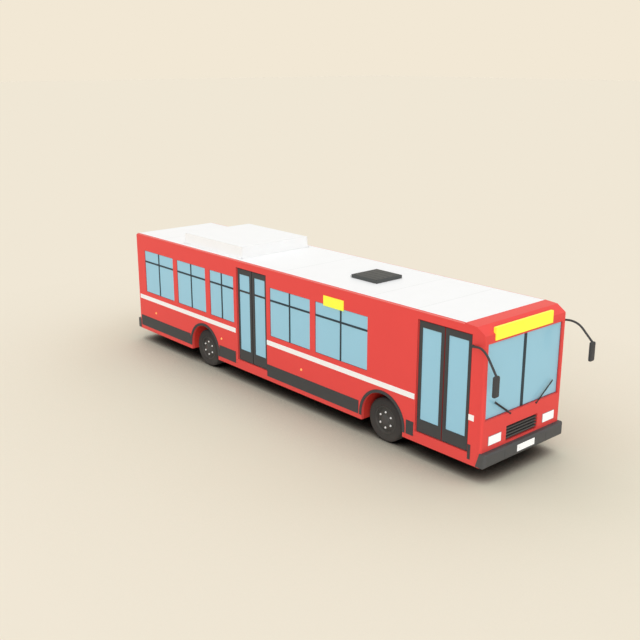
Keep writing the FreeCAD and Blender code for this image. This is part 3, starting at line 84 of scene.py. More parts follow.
floor_mesh = bpy.data.meshes.new("studio_floor")
floor_mesh.from_pydata([(-300, -300, -0.001), (300, -300, -0.001), (300, 300, -0.001),
                        (-300, 300, -0.001)], [], [(0, 1, 2, 3)])
studio_floor = bpy.data.objects.new("studio_floor", floor_mesh)
scene.collection.objects.link(studio_floor)
floor_material = bpy.data.materials.new("studio_cream")
floor_material.use_nodes = True
floor_tree = floor_material.node_tree
# Painted shade: an occlusion reading darkens the floor's own colour towards black near the object.
floor_open = add(floor_tree, "AmbientOcclusion", {"Distance": 8.0}, samples=8)
floor_painted_shade = add(floor_tree, "ValToRGB", {"Fac": floor_open.outputs["AO"]})
floor_painted_shade.color_ramp.elements[0].color = (0.0, 0.0, 0.0, 1)
floor_painted_shade.color_ramp.elements[1].color = (0.870, 0.791, 0.653, 1)
for place, tone in ((0.12, (0.055, 0.055, 0.046, 1)), (0.32, (0.325, 0.30, 0.25, 1)),
                    (0.60, (0.765, 0.737, 0.598, 1)), (0.85, (0.777, 0.716, 0.572, 1))):
    floor_painted_shade.color_ramp.elements.new(place).color = tone
floor_shader = tune(floor_material, {"Base Color": floor_painted_shade.outputs["Color"],
                                     "Roughness": 0.95, "Specular IOR Level": 0.0})
floor_under = add(floor_tree, "NewGeometry").outputs["Backfacing"]
floor_clear = add(floor_tree, "BsdfTransparent").outputs[0]
floor_either = add(
    floor_tree, "MixShader", {0: floor_under, 1: floor_shader.outputs[0], 2: floor_clear})
feed(floor_tree, floor_tree.nodes["Material Output"], {0: floor_either.outputs[0]})
floor_mesh.materials.append(floor_material)

world = bpy.data.worlds.new("studio_sky")
scene.world = world
world.use_nodes = True
sky = world.node_tree
sky_way = add(sky, "SeparateXYZ", {0: add(sky, "TexCoord").outputs["Generated"]})
sky_rise = add(sky, "MapRange", {"Value": sky_way.outputs["Z"], "To Min": 0.0, "To Max": 1.44})
sky_light = feed(sky, sky.nodes["Background"], {"Color": (0.98, 0.99, 1.0, 1),
                                                "Strength": sky_rise.outputs["Result"]})
sky_seen = add(sky, "Background", {"Color": CREAM, "Strength": 1.0})
sky_ray = add(sky, "LightPath").outputs
sky_either = add(sky, "Math", {0: sky_ray["Is Camera Ray"], 1: sky_ray["Is Glossy Ray"]},
                 operation="MAXIMUM")
sky_mix = add(
    sky, "MixShader", {0: sky_either.outputs[0], 1: sky_light.outputs[0], 2: sky_seen.outputs[0]})
feed(sky, sky.nodes["World Output"], {0: sky_mix.outputs[0]})


def lamp(name, strength, spread, towards):
    """A distant soft lamp that shines along the given direction."""
    data = bpy.data.lights.new(name, "SUN")
    data.energy = strength
    data.angle = math.radians(spread)
    item = bpy.data.objects.new(name, data)
    item.rotation_euler = Vector(towards).to_track_quat("-Z", "Y").to_euler()
    scene.collection.objects.link(item)
    return item


lamp("lamp_above", 0.20, 60, (0.20, -0.30, -1.0))
lamp_side = lamp("lamp_side", 1.30, 25, (-0.68, 0.70, -0.16))
unlit_floor = bpy.data.collections.new("floor_without_side_lamp")
unlit_floor.objects.link(studio_floor)
unlit_floor.collection_objects[0].light_linking.link_state = "EXCLUDE"
lamp_side.light_linking.receiver_collection = unlit_floor

# Chassis. Welded steel ladders painted a dull grey, dusted by the road. The three shader
# groups made here, dust, worn edges and fine grain, serve every later finish too.
DUST = (0.42, 0.36, 0.28, 1)


def shader_group(name, inputs, outputs):
    """An empty node group with float inputs and named outputs."""
    made = bpy.data.node_groups.new(name, "ShaderNodeTree")
    for label, value in inputs:
        socket = made.interface.new_socket(label, in_out="INPUT", socket_type="NodeSocketFloat")
        socket.default_value = value
    for label in outputs:
        made.interface.new_socket(label, in_out="OUTPUT", socket_type="NodeSocketFloat")
    return made, made.nodes.new("NodeGroupInput"), made.nodes.new("NodeGroupOutput")


def maths(tree, operation, first, second, clamp=False):
    """One Math node; each operand is a socket or a number."""
    return add(tree, "Math", {0: first, 1: second}, operation=operation, use_clamp=clamp).outputs[0]


def noise(tree, vector, scale, detail, rough):
    """A noise value over the object's own coordinates; scale is a socket or a number."""
    return add(tree, "TexNoise", {"Vector": vector, "Scale": scale, "Detail": detail,
                                  "Roughness": rough}).outputs["Fac"]


dust_group, dust_in, dust_out = shader_group(
    "road_dust", [("Reach", 0.9), ("Amount", 0.3)], ["Mask"])
dust_place = add(dust_group, "TexCoord").outputs["Object"]
dust_split = add(dust_group, "SeparateXYZ", {0: dust_place})
dust_low = maths(dust_group, "DIVIDE", dust_split.outputs["Z"], dust_in.outputs["Reach"])
dust_low = maths(dust_group, "SUBTRACT", 1.0, dust_low, clamp=True)
dust_low = maths(dust_group, "POWER", dust_low, 1.6)
dust_patch = maths(dust_group, "ADD", noise(dust_group, dust_place, 2.2, 6.0, 0.65), 0.12)
dust_speck = maths(dust_group, "ADD", noise(dust_group, dust_place, 60.0, 3.0, 0.7), 0.3)
dust_patch = maths(dust_group, "MULTIPLY", dust_patch, dust_speck)
dust_mask = maths(dust_group, "MULTIPLY", dust_low, dust_patch)
dust_mask = maths(dust_group, "MULTIPLY", dust_mask, dust_in.outputs["Amount"])
dust_mask = maths(dust_group, "MULTIPLY", dust_mask, 2.2, clamp=True)
feed(dust_group, dust_out, {"Mask": dust_mask})

wear_group, wear_in, wear_out = shader_group(
    "edge_wear", [("Width", 0.004), ("Break up", 40.0)], ["Mask"])
wear_bevel = add(wear_group, "Bevel", {"Radius": wear_in.outputs["Width"]}, samples=4)
wear_face = add(wear_group, "NewGeometry")
wear_dot = add(wear_group, "VectorMath", {0: wear_bevel.outputs[0],
                                          1: wear_face.outputs["Normal"]}, operation="DOT_PRODUCT")
wear_edge = maths(wear_group, "SUBTRACT", 1.0, wear_dot.outputs["Value"], clamp=True)
wear_edge = maths(wear_group, "MULTIPLY", wear_edge, 5.0, clamp=True)
wear_place = add(wear_group, "TexCoord").outputs["Object"]
wear_break = noise(wear_group, wear_place, wear_in.outputs["Break up"], 4.0, 0.7)
wear_break = maths(wear_group, "SUBTRACT", wear_break, 0.42)
wear_break = maths(wear_group, "MULTIPLY", wear_break, 5.0, clamp=True)
feed(wear_group, wear_out, {"Mask": maths(wear_group, "MULTIPLY", wear_edge, wear_break)})

grain_group, grain_in, grain_out = shader_group(
    "fine_grain", [("Scale", 400.0), ("Patch", 3.0)], ["Height", "Tone"])
grain_place = add(grain_group, "TexCoord").outputs["Object"]
feed(grain_group, grain_out, {
    "Height": noise(grain_group, grain_place, grain_in.outputs["Scale"], 2.0, 0.5),
    "Tone": noise(grain_group, grain_place, grain_in.outputs["Patch"], 5.0, 0.6)})


def finish(name, color, rough, grain=400.0, bump=0.05, depth=0.0004, tone=0.06, rough_range=0.12,
           dust=0.0, dust_reach=0.9, wear=0.0, wear_color=(0.3, 0.3, 0.3, 1), wear_width=0.004,
           metallic=0.0, coat=0.0, coat_rough=0.12, specular=0.18, soften=0.0, patch=3.0):
    """A solid finish with fine grain, uneven tone, road dust and worn edges as asked."""
    material = bpy.data.materials.new(name)
    material.use_nodes = True
    tree = material.node_tree
    grains = add(tree, "Group", {"Scale": grain, "Patch": patch}, node_tree=grain_group).outputs
    uneven = add(tree, "MapRange", {"Value": grains["Tone"], "To Min": 1.0 - tone,
                                    "To Max": 1.0 + tone}).outputs["Result"]
    colored = add(tree, "Mix", {"Factor": 1.0, "A": (*color[:3], 1), "B": uneven},
                  data_type="RGBA", blend_type="MULTIPLY").outputs["Result"]
    for amount, group, settings, over in (
            (wear, wear_group, {"Width": wear_width}, wear_color),
            (dust, dust_group, {"Reach": dust_reach, "Amount": dust}, DUST)):
        if amount:
            marks = add(tree, "Group", settings, node_tree=group).outputs["Mask"]
            marks = maths(tree, "MULTIPLY", marks, amount if group == wear_group else 1.0)
            colored = add(tree, "Mix", {"Factor": marks, "A": colored, "B": over},
                          data_type="RGBA").outputs["Result"]
    sheen = add(
        tree, "MapRange", {"Value": grains["Tone"], "To Min": max(0.02, rough - rough_range),
        "To Max": min(1.0, rough + rough_range)}).outputs["Result"]
    relief = add(tree, "Bump", {"Strength": bump, "Distance": depth, "Height": grains["Height"]})
    if soften:
        edge = add(tree, "Bevel", {"Radius": soften}, samples=4)
        feed(tree, relief, {"Normal": edge.outputs[0]})
    tune(material, {"Metallic": metallic, "Specular IOR Level": specular, "Coat Weight": coat,
                    "Coat Roughness": coat_rough, "Base Color": colored, "Roughness": sheen,
                    "Normal": relief.outputs["Normal"]})
    return material


def dress(material, *names):
    """Give CAD nodes a finish in place of their plain one."""
    for name in names:
        nodes[name].data.materials.clear()
        nodes[name].data.materials.append(material)


chassis_paint = finish(
    "chassis_grey_paint", (0.06, 0.06, 0.062), 0.6, grain=120, bump=0.3, tone=0.25, dust=0.9,
    dust_reach=1.0, wear=0.5, wear_color=(0.16, 0.09, 0.05, 1), soften=0.004)
dress(chassis_paint, "chassis_frame")

# Axles and knuckles. Rough castings and forgings under the floor, with black rubber air
# springs standing on the beams. The sleeves bulge in two lobes between their end plates.
cast_iron = finish(
    "rough_cast_iron", (0.085, 0.083, 0.082), 0.7, grain=260, bump=0.6, depth=0.001, tone=0.3,
    dust=0.8, dust_reach=1.0, wear=0.5, wear_color=(0.2, 0.12, 0.07, 1), soften=0.004)
dress(cast_iron, "front_axle", "rear_axle", "steering_knuckle_left", "steering_knuckle_right")
sleeve_rubber = finish("air_spring_rubber", (0.03, 0.03, 0.031), 0.75, grain=500, bump=0.2,
                       tone=0.15, dust=0.8, dust_reach=1.0)


def skin(made, rings, around=False):
    """Join rings of points with faces, each to the next, round to the first if asked."""
    added = []
    for here, there in zip(rings, rings[1:] + rings[:1] if around else rings[1:]):
        for i in range(len(here)):
            j = (i + 1) % len(here)
            added.append(made.faces.new((here[i], here[j], there[j], there[i])))
    return added


def lathe(profile, steps):
    """Turn a closed profile of (radius, place along Y) points round the Y axis."""
    made = bmesh.new()
    rings = []
    for k in range(steps):
        turn = 2 * math.pi * k / steps
        rings.append([made.verts.new((r * math.cos(turn), y, r * math.sin(turn)))
                      for r, y in profile])
    skin(made, rings, around=True)
    bmesh.ops.remove_doubles(made, verts=made.verts, dist=0.00001)
    return made


def at(x, y, z):
    """A move to a place."""
    return Matrix.Translation((x, y, z))


def rotated(degrees, axis):
    """A turn about one axis."""
    return Matrix.Rotation(math.radians(degrees), 4, axis)


def pour(whole, part, material=0, place=None):
    """Move a small mesh into the piece being built, turned and shifted as asked."""
    if place is not None:
        bmesh.ops.transform(part, matrix=place, verts=part.verts)
    for face in part.faces:
        face.material_index = material
    carried = bpy.data.meshes.new("carried")
    part.to_mesh(carried)
    part.free()
    whole.from_mesh(carried)
    bpy.data.meshes.remove(carried)


def settle(whole, name, body, materials, smooth=32):
    """Finish a piece: normals out, smooth faces between sharp edges, riding on its body."""
    bmesh.ops.recalc_face_normals(whole, faces=whole.faces)
    mesh = bpy.data.meshes.new(name)
    whole.to_mesh(mesh)
    whole.free()
    for material in materials:
        mesh.materials.append(material)
    mesh.shade_smooth()
    mesh.set_sharp_from_angle(angle=math.radians(smooth))
    item = bpy.data.objects.new(name, mesh)
    scene.collection.objects.link(item)
    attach(item, body)
    return item


def turning(whole, profile, steps, material=0, place=None):
    """Turn a profile and move it into the piece being built."""
    pour(whole, lathe(profile, steps), material, place)


UPRIGHT = rotated(90, "X")
FRONT_AXLE_X, REAR_AXLE_X, HUB_Z = 3.3915, -3.1125, 0.484
for end, axle_x, low in (("front", FRONT_AXLE_X, 0.411), ("rear", REAR_AXLE_X, 0.395)):
    sleeves = bmesh.new()
    reach = 0.503 - low
    for y in (-0.43, 0.43):
        profile = [(0.09, 0), (0.099, 0), (0.099, 0.006)]
        for k in range(25):
            share = k / 24
            bulge = 0.097 + 0.007 * abs(math.sin(share * 2 * math.pi))
            profile.append((bulge, 0.008 + share * (reach - 0.016)))
        profile += [(0.099, reach - 0.006), (0.099, reach), (0.09, reach)]
        turning(sleeves, profile, 40, place=at(axle_x, y, low) @ UPRIGHT)
    settle(sleeves, f"air_springs_{end}", "shell", [sleeve_rubber])

# Tyres. Black radial tyres of one size all round, twins at the rear: five ribs round the
# tread, notches across both shoulders, and ridges moulded round the side walls.
TYRE_WIDTH, BEAD_RADIUS = 0.280, 0.2866
GROOVES = (0.078, 0.1193, 0.1607, 0.202)
tyre_rubber = finish("tyre_rubber", (0.036, 0.035, 0.036), 0.82, grain=700, bump=0.25, depth=0.0005,
                     tone=0.12, dust=0.08, dust_reach=1.4, patch=8.0)


def tyre_profile(notched):
    """Half loop from one bead over the tread to the other, as (radius, across)."""
    side = [
        (BEAD_RADIUS, 0.026), (0.2875, 0.0200), (0.3025, 0.0190), (0.3065, 0.0110),
        (0.3150, 0.0075), (0.3190, 0.0055), (0.3230, 0.0070), (0.3500, 0.0030), (0.3800, 0.0008),
        (0.4050, 0.0006), (0.4280, 0.0025), (0.4330, 0.0012), (0.4380, 0.0020), (0.4400, 0.0050),
        (0.4560, 0.0110), (0.4680, 0.0190), (0.4760, 0.0270), (0.4815, 0.0350), (0.4822, 0.0520)]
    if notched:
        side = side[:15] + [(0.4600, 0.0190), (0.4660, 0.0270), (0.4700, 0.0350), (0.4720, 0.0520)]
    tread = [(0.4825, 0.0530)]
    for centre in GROOVES:
        tread += [(0.4838, centre - 0.0055), (0.4700, centre - 0.0030), (0.4700, centre + 0.0030),
                  (0.4838, centre + 0.0055)]
    tread.append((0.4825, TYRE_WIDTH - 0.0530))
    return side + tread + [(r, TYRE_WIDTH - across) for r, across in reversed(side)]


def build_tyre(notches=56):
    """A whole tyre round the Y axis, its lower face at nought."""
    made = bmesh.new()
    rings = []
    for k in range(notches):
        for share, notched in ((0.0, False), (0.70, False), (0.73, True), (0.97, True)):
            turn = 2 * math.pi * (k + share) / notches
            rings.append([made.verts.new((r * math.cos(turn), across, r * math.sin(turn)))
                          for r, across in tyre_profile(notched)])
    skin(made, rings, around=True)
    return made


WHEELS = [
    ("front_wheel_left", "front_tyre_left", "front_rim_left", FRONT_AXLE_X, 1, (0.870,)),
    ("front_wheel_right", "front_tyre_right", "front_rim_right", FRONT_AXLE_X, -1, (0.870,)),
    ("rear_wheels_left", "rear_tyres_left", "rear_rim_left", REAR_AXLE_X, 1, (0.870, 0.540)),
    ("rear_wheels_right", "rear_tyres_right", "rear_rim_right", REAR_AXLE_X, -1, (0.870, 0.540))]
for body, tyre_node, rim_node, axle_x, side, starts in WHEELS:
    tyres = bmesh.new()
    for start in starts:
        low = start if side > 0 else -start - TYRE_WIDTH
        pour(tyres, build_tyre(), place=at(axle_x, low, HUB_Z))
    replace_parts(settle(tyres, f"tread_{body}", body, [tyre_rubber], smooth=40), tyre_node)

# Rims. Pressed steel discs painted a dark satin grey, dished round the hub, each held by
# six zinc-bright capped nuts, with a slightly paler turned hub cap at the middle.
rim_paint = finish(
    "rim_dark_satin", (0.047, 0.0455, 0.045), 0.42, grain=500, bump=0.12, tone=0.10, dust=0.08,
    dust_reach=1.3, wear=0.25, wear_color=(0.13, 0.13, 0.13, 1), wear_width=0.003)
hub_paint = finish("hub_grey_satin", (0.068, 0.066, 0.066), 0.36, grain=420, bump=0.12, tone=0.12,
                   dust=0.06, dust_reach=1.3)
nut_zinc = finish("bright_nut", (0.90, 0.90, 0.89), 0.35, grain=900, bump=0.1, tone=0.06, dust=0.04,
                  dust_reach=1.3)
NUT_CIRCLE = 0.173


def rim_profile(barrel_start):
    """A rim's section: tyre seat, outer lip, dished disc and its back, 10 mm thick."""
    face = [(0.278, 1.1345), (0.270, 1.126), (0.266, 1.112), (0.259, 1.101), (0.248, 1.0975),
            (0.234, 1.101), (0.216, 1.112), (0.204, 1.1225), (0.198, 1.1255), (0.118, 1.1255)]
    back = [(r, y - 0.010) for r, y in reversed(face[4:])]
    return ([(0.2750, barrel_start), (0.2855, barrel_start), (0.2855, 1.1295), (0.2995, 1.1305),
             (0.3022, 1.1330), (0.3000, 1.1358), (0.2840, 1.1360)] + face + back
            + [(0.258, 1.080), (0.266, 1.060)])


def half_turn(side):
    """Half a turn about the upright for the right side, none for the left."""
    return rotated(180 if side < 0 else 0, "Z")


for body, tyre_node, rim_node, axle_x, side, starts in WHEELS:
    rim = bmesh.new()
    turning(rim, rim_profile(starts[-1] + 0.014), 96)
    turning(rim, [(0.119, 1.112), (0.119, 1.127), (0.116, 1.1285), (0.104, 1.1290), (0.101, 1.1310),
                  (0.098, 1.1385), (0.090, 1.1420), (0.060, 1.1432), (0.0, 1.1436), (0.0, 1.112)],
            72, material=1)
    for angle in range(30, 390, 60):
        turn = math.radians(angle)
        spot = at(NUT_CIRCLE * math.cos(turn), 1.1255, NUT_CIRCLE * math.sin(turn))
        turning(rim, [(0.0, -0.002), (0.0235, -0.002), (0.0235, 0.0022), (0.0215, 0.0035),
                      (0.0, 0.0035)], 24, 2, spot)
        turning(rim, [(0.0, 0.002), (0.0185, 0.002), (0.0185, 0.0125), (0.0160, 0.0160),
                      (0.0100, 0.0178), (0.0, 0.0182)], 6, 2, spot @ rotated(angle, "Y"))
    bmesh.ops.transform(rim, matrix=at(axle_x, 0, HUB_Z) @ half_turn(side), verts=rim.verts)
    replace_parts(settle(rim, f"disc_{body}", body, [rim_paint, hub_paint, nut_zinc],
                       smooth=35), rim_node)

# Body panels. Glass-fibre and steel panels in one red gloss paint, its skin faintly dimpled,
# with road dust low down. Their inner faces are lined in pale grey laminate.
RED = (0.83, 0.081, 0.073)
body_paint = finish(
    "bus_red_paint", RED, 0.30, grain=900, bump=0.05, depth=0.0003, tone=0.025, rough_range=0.05,
    dust=0.04, dust_reach=1.0, coat=0.02, coat_rough=0.10, specular=0.09, soften=0.006, patch=1.2)
liner = finish("pale_laminate", (0.55, 0.56, 0.56), 0.55, grain=300, bump=0.15, tone=0.05)
house_paint = finish("wheel_house_red", (0.64, 0.036, 0.026), 0.55, grain=300, bump=0.2, tone=0.08,
                     dust=0.05, dust_reach=1.0, soften=0.006)
dress(body_paint, "front_wall", "rear_wall", "right_wall", "left_wall", "engine_flap")
dress(house_paint, "wheel_boxes")
for name, across in (("right_wall", 1), ("left_wall", 1), ("front_wall", 0), ("rear_wall", 0)):
    panel = nodes[name].data
    panel.materials.append(liner)
    for face in panel.polygons:
        middle, facing = face.center, face.normal
        inside = abs(middle.y) < 1.1805 and -6.30 < middle.x < 5.94 and 0.57 < middle.z < 3.06
        if inside and facing[across] * middle[across] < 0 and abs(facing.z) < 0.5:
            face.material_index = 1

# Floor. Sheet vinyl with a fine speckle over plywood, stepped up over the engine, with an
# aluminium nosing screwed along the step.
floor_vinyl = finish(
    "speckled_floor_vinyl", (0.16, 0.165, 0.17), 0.7, grain=900, bump=0.25, tone=0.15, patch=60)
nosing_metal = finish(
    "brushed_aluminium", (0.50, 0.50, 0.49), 0.38, grain=700, bump=0.2, tone=0.1, metallic=0.7)
dress(floor_vinyl, "floor_panel")


def slab(low, high, radius, steps):
    """A block between two opposite corners with its edges rounded over."""
    made = bmesh.new()
    bmesh.ops.create_cube(made, size=1)
    size = [abs(b - a) for a, b in zip(low, high)]
    middle = [(a + b) / 2 for a, b in zip(low, high)]
    bmesh.ops.transform(made, matrix=at(*middle) @ Matrix.Diagonal((*size, 1)), verts=made.verts)
    bmesh.ops.bevel(made, geom=made.edges[:], offset=min(radius, min(size) * 0.45), segments=steps,
                    profile=0.5, affect="EDGES")
    return made


def block(whole, low, high, radius, steps=2, material=0, place=None):
    """Move an eased block into the piece being built."""
    pour(whole, slab(low, high, radius, steps), material, place)


def round_bar(start, end, radius, steps=20):
    """A round bar between two points, its end edges eased."""
    start, end = Vector(start), Vector(end)
    reach = (end - start).length
    ease = min(0.3 * radius, 0.002)
    made = lathe([(0, 0), (radius - ease, 0), (radius, ease), (radius, reach - ease),
                  (radius - ease, reach), (0, reach)], steps)
    turn = Vector((0, 1, 0)).rotation_difference(end - start).to_matrix().to_4x4()
    bmesh.ops.transform(made, matrix=at(*start) @ turn, verts=made.verts)
    return made


PODIUM_END, PODIUM_TOP = -3.9345, 1.180
nosing = bmesh.new()
block(nosing, (PODIUM_END - 0.045, -1.16, PODIUM_TOP - 0.0005),
      (PODIUM_END + 0.004, 1.16, PODIUM_TOP + 0.004), 0.0015)
block(nosing, (PODIUM_END - 0.0005, -1.16, PODIUM_TOP - 0.03),
      (PODIUM_END + 0.004, 1.16, PODIUM_TOP + 0.003), 0.0015)
for k in range(5):
    ridge = PODIUM_END - 0.037 + 0.008 * k
    block(nosing, (ridge, -1.158, PODIUM_TOP + 0.0035), (ridge + 0.003, 1.158, PODIUM_TOP + 0.0055),
          0.001, 1)
settle(nosing, "step_nosing", "shell", [nosing_metal])

# Engine. One cast block behind the rear axle. Its rear face, seen under the lifted flap,
# carries three belt pulleys, a drive belt and a ribbed cover.
dress(cast_iron, "engine_block")
belt_rubber = finish("belt_rubber", (0.02, 0.02, 0.02), 0.7, grain=600, bump=0.3, tone=0.2)
ENGINE_BACK = -5.9545
drive = bmesh.new()
PULLEYS = ((-0.26, 0.66, 0.075), (0.0, 0.90, 0.060), (0.27, 0.70, 0.095))
for y, z, radius in PULLEYS:
    face = at(ENGINE_BACK, y, z) @ rotated(90, "Z")
    turning(drive, [(0, -0.002), (radius * 0.35, -0.002), (radius * 0.35, 0.020), (radius, 0.022),
                    (radius, 0.028), (radius - 0.010, 0.034), (radius - 0.010, 0.050),
                    (radius, 0.056), (radius, 0.062), (radius * 0.8, 0.064), (radius * 0.7, 0.052),
                    (radius * 0.3, 0.052), (radius * 0.28, 0.066), (0, 0.068)], 40, place=face)
hull = []
for y, z, radius in PULLEYS:
    seat = radius - 0.006
    hull += [(y + seat * math.cos(a * math.pi / 24), z + seat * math.sin(a * math.pi / 24))
             for a in range(48)]
middle_y, middle_z = 0.0, 0.75
hull.sort(key=lambda p: math.atan2(p[1] - middle_z, p[0] - middle_y))
path = [hull[0]]
for k in range(72):
    turn = 2 * math.pi * k / 72
    far = max(hull, key=lambda p: p[0] * math.cos(turn) + p[1] * math.sin(turn))
    if far != path[-1] and far not in path[1:]:
        path.append(far)
path = path[1:]
rows = []
for y, z in path:
    out = Vector((y - middle_y, z - middle_z)).normalized() * 0.008
    rows.append([drive.verts.new(p) for p in (
        (ENGINE_BACK - 0.036, y, z), (ENGINE_BACK - 0.050, y, z),
        (ENGINE_BACK - 0.050, y + out.x, z + out.y), (ENGINE_BACK - 0.036, y + out.x, z + out.y))])
for face in skin(drive, rows, around=True):
    face.material_index = 1
block(drive, (ENGINE_BACK - 0.030, -0.48, 0.955), (ENGINE_BACK + 0.002, 0.48, 1.06), 0.008, 3)
for k in range(11):
    rib = -0.45 + 0.0875 * k
    block(drive, (ENGINE_BACK - 0.036, rib, 0.965), (ENGINE_BACK - 0.028, rib + 0.012, 1.05), 0.003)
settle(drive, "engine_drive", "shell", [cast_iron, belt_rubber])

# Roof. White gel-coated panels butted end to end, the joints run in white sealant. Its
# underside is the cabin's pale ceiling.
roof_white = finish("roof_white_gelcoat", (0.92, 0.92, 0.915), 0.42, grain=300, bump=0.05,
                    tone=0.02, soften=0.008, rough_range=0.06)
sealant = finish("white_sealant", (0.80, 0.80, 0.79), 0.6, grain=200, bump=0.3, tone=0.05)
dress(roof_white, "roof_panel", "roof_pod")
nodes["roof_panel"].data.materials.append(liner)
for face in nodes["roof_panel"].data.polygons:
    if face.normal.z < -0.5:
        face.material_index = 1
ROOF_TOP = 3.106
seams = bmesh.new()
for x in (-5.05, 0.05, 2.95, 4.25):
    block(seams, (x - 0.007, -1.215, ROOF_TOP - 0.0005), (x + 0.007, 1.215, ROOF_TOP + 0.0018),
          0.001, 1)
for y in (-1.2195, 1.2125):
    block(seams, (-6.249, y, ROOF_TOP - 0.0005), (5.494, y + 0.007, ROOF_TOP + 0.0015), 0.001, 1)
settle(seams, "roof_seams", "shell", [sealant])

# Roof edge mouldings. A slim half-round strip of red plastic, lighter red as a painted highlight,
# runs along the top of each side wall, pressed on over a clip rail from the rear cap to the brow.
# Painted highlight: the strip's red is paler than the body's, standing for light along the roof
# edge.
edge_painted_highlight = finish("roof_edge_red", (0.90, 0.23, 0.21), 0.4, grain=500, bump=0.08, tone=0.03)
mouldings = bmesh.new()
for side in (-1, 1):
    block(mouldings, (-6.245, side * 1.2430, 3.0790), (5.490, side * 1.2535, 3.1015), 0.0045, 4)
settle(mouldings, "roof_edge_mouldings", "shell", [edge_painted_highlight])

# Roof pod. A moulded white cover over the cooling plant, bolted down along its foot, with
# pressed louvres let into its rear face and its left side. Its walls lean in by 10 mm
# over their height of 277.
POD_REAR, POD_FRONT, POD_HALF_WIDTH = -4.1635, -1.6555, 1.05
POD_LEAN = 0.010 / 0.277
FLANGE, FLANGE_LOW, FLANGE_HIGH = 0.037, 3.1055, 3.1092
pod_dark = finish("pod_louvre_grey", (0.30, 0.30, 0.30), 0.6, grain=400, bump=0.15, tone=0.1)
cover = bmesh.new()
for k in range(9):
    x = POD_REAR + 0.13 + 0.281 * k
    for side in (-1, 1):
        turning(cover, [(0, 0), (0.010, 0), (0.0095, 0.003), (0.006, 0.005), (0, 0.0055)], 12,
                place=at(x, side * 1.066, 3.1085) @ UPRIGHT)
foot_rear, foot_front = POD_REAR - 0.03, POD_FRONT + 0.03
for low in (-1.082, 1.045):
    block(cover, (foot_rear, low, FLANGE_LOW), (foot_front, low + FLANGE, FLANGE_HIGH), 0.0015)
for low in (foot_rear, foot_front - FLANGE):
    block(cover, (low, -1.08, FLANGE_LOW), (low + FLANGE, 1.08, FLANGE_HIGH), 0.0015)
for k in range(5):
    z = 3.150 + 0.042 * k
    x = POD_REAR + (z - ROOF_TOP) * POD_LEAN
    block(cover, (-0.010, -0.78, -0.004), (0.003, 0.78, 0.014), 0.003, material=1,
          place=at(x, 0, z) @ rotated(35, "Y"))
    y = POD_HALF_WIDTH - (z - ROOF_TOP) * POD_LEAN
    block(cover, (-0.75, -0.003, -0.004), (0.75, 0.010, 0.014), 0.003, material=1,
          place=at(-2.9095, y, z) @ rotated(35, "X"))
settle(cover, "pod_fittings", "shell", [roof_white, pod_dark])

# Roof hatch. A dark moulded lid with shallow stiffening ribs and a raised rim, hinged along
# its rear edge.
hatch_plastic = finish("hatch_grey_plastic", (0.082, 0.085, 0.083), 0.55, grain=350, bump=0.25,
                       tone=0.06, soften=0.008)
dress(hatch_plastic, "roof_hatch")
HATCH_TOP = 3.1813


def border(a0, a1, b0, b1, width):
    """The four strips round an oblong, each by two opposite corners."""
    a0, a1 = sorted((a0, a1))
    return (((a0, b0), (a1, b0 + width)), ((a0, b1 - width), (a1, b1)),
            ((a0, b0), (a0 + width, b1)), ((a1 - width, b0), (a1, b1)))


ribs = bmesh.new()
for y in (-0.24, -0.08, 0.08, 0.24):
    block(ribs, (1.61, y - 0.016, HATCH_TOP - 0.001), (2.235, y + 0.016, HATCH_TOP + 0.004), 0.003,
          3)
for low, high in border(1.5475, 2.2975, -0.375, 0.375, 0.020):
    block(ribs, (*low, HATCH_TOP - 0.001), (*high, HATCH_TOP + 0.004), 0.002, 2)
settle(ribs, "hatch_ribs", "hatch", [hatch_plastic])

# Windows. Pale blue tinted panes bonded in black rubber, each crossed by a slim dark post
# and rail. The tint is nearly solid, with a little of the cabin showing through.
PANE = (0.370, 0.695, 0.870)
tinted_glass = finish("pale_blue_glass", PANE, 0.10, grain=3.0, bump=0.03, depth=0.002, tone=0.02,
                      rough_range=0.03, patch=0.6, specular=0.4)
tune(tinted_glass, {"Transmission Weight": 0.12})
bar_black = finish("window_bar_black", (0.030, 0.047, 0.060), 0.4, grain=500, bump=0.1, tone=0.08,
                   soften=0.004)
gasket_rubber = finish("glazing_rubber", (0.055, 0.055, 0.056), 0.7, grain=500, bump=0.2, tone=0.1)
dress(tinted_glass, "window_panes", "mid_door_rear_glass", "mid_door_front_glass",
      "front_door_rear_glass", "front_door_front_glass")
dress(bar_black, "window_bars")
RIGHT_PANES = ((-5.9435, -4.5095), (-4.3085, -2.9995), (-2.7925, -1.7815), (-0.3335, 1.0965),
               (1.2795, 2.9335))
LEFT_PANES = RIGHT_PANES + ((-1.5815, -0.5345), (4.5305, 5.6805))
SILL, HEAD = 1.485, 2.662
gaskets = bmesh.new()
for side, spans in ((-1, RIGHT_PANES), (1, LEFT_PANES)):
    inner, outer = side * 1.2375, side * 1.2435
    for low, high in spans:
        for (x, z), (far_x, far_z) in border(low, high, SILL, HEAD, 0.007):
            block(gaskets, (x, inner, z), (far_x, outer, far_z), 0.002, 1)
for x, far_x, opening in ((5.957, 5.962, (-1.160, 1.160, 1.276, 2.779)),
                          (-6.367, -6.362, (-0.9, 0.9, 1.64, 2.62))):
    for low, high in border(*opening, 0.009):
        block(gaskets, (x, *low), (far_x, *high), 0.002, 1)
settle(gaskets, "window_gaskets", "shell", [gasket_rubber])

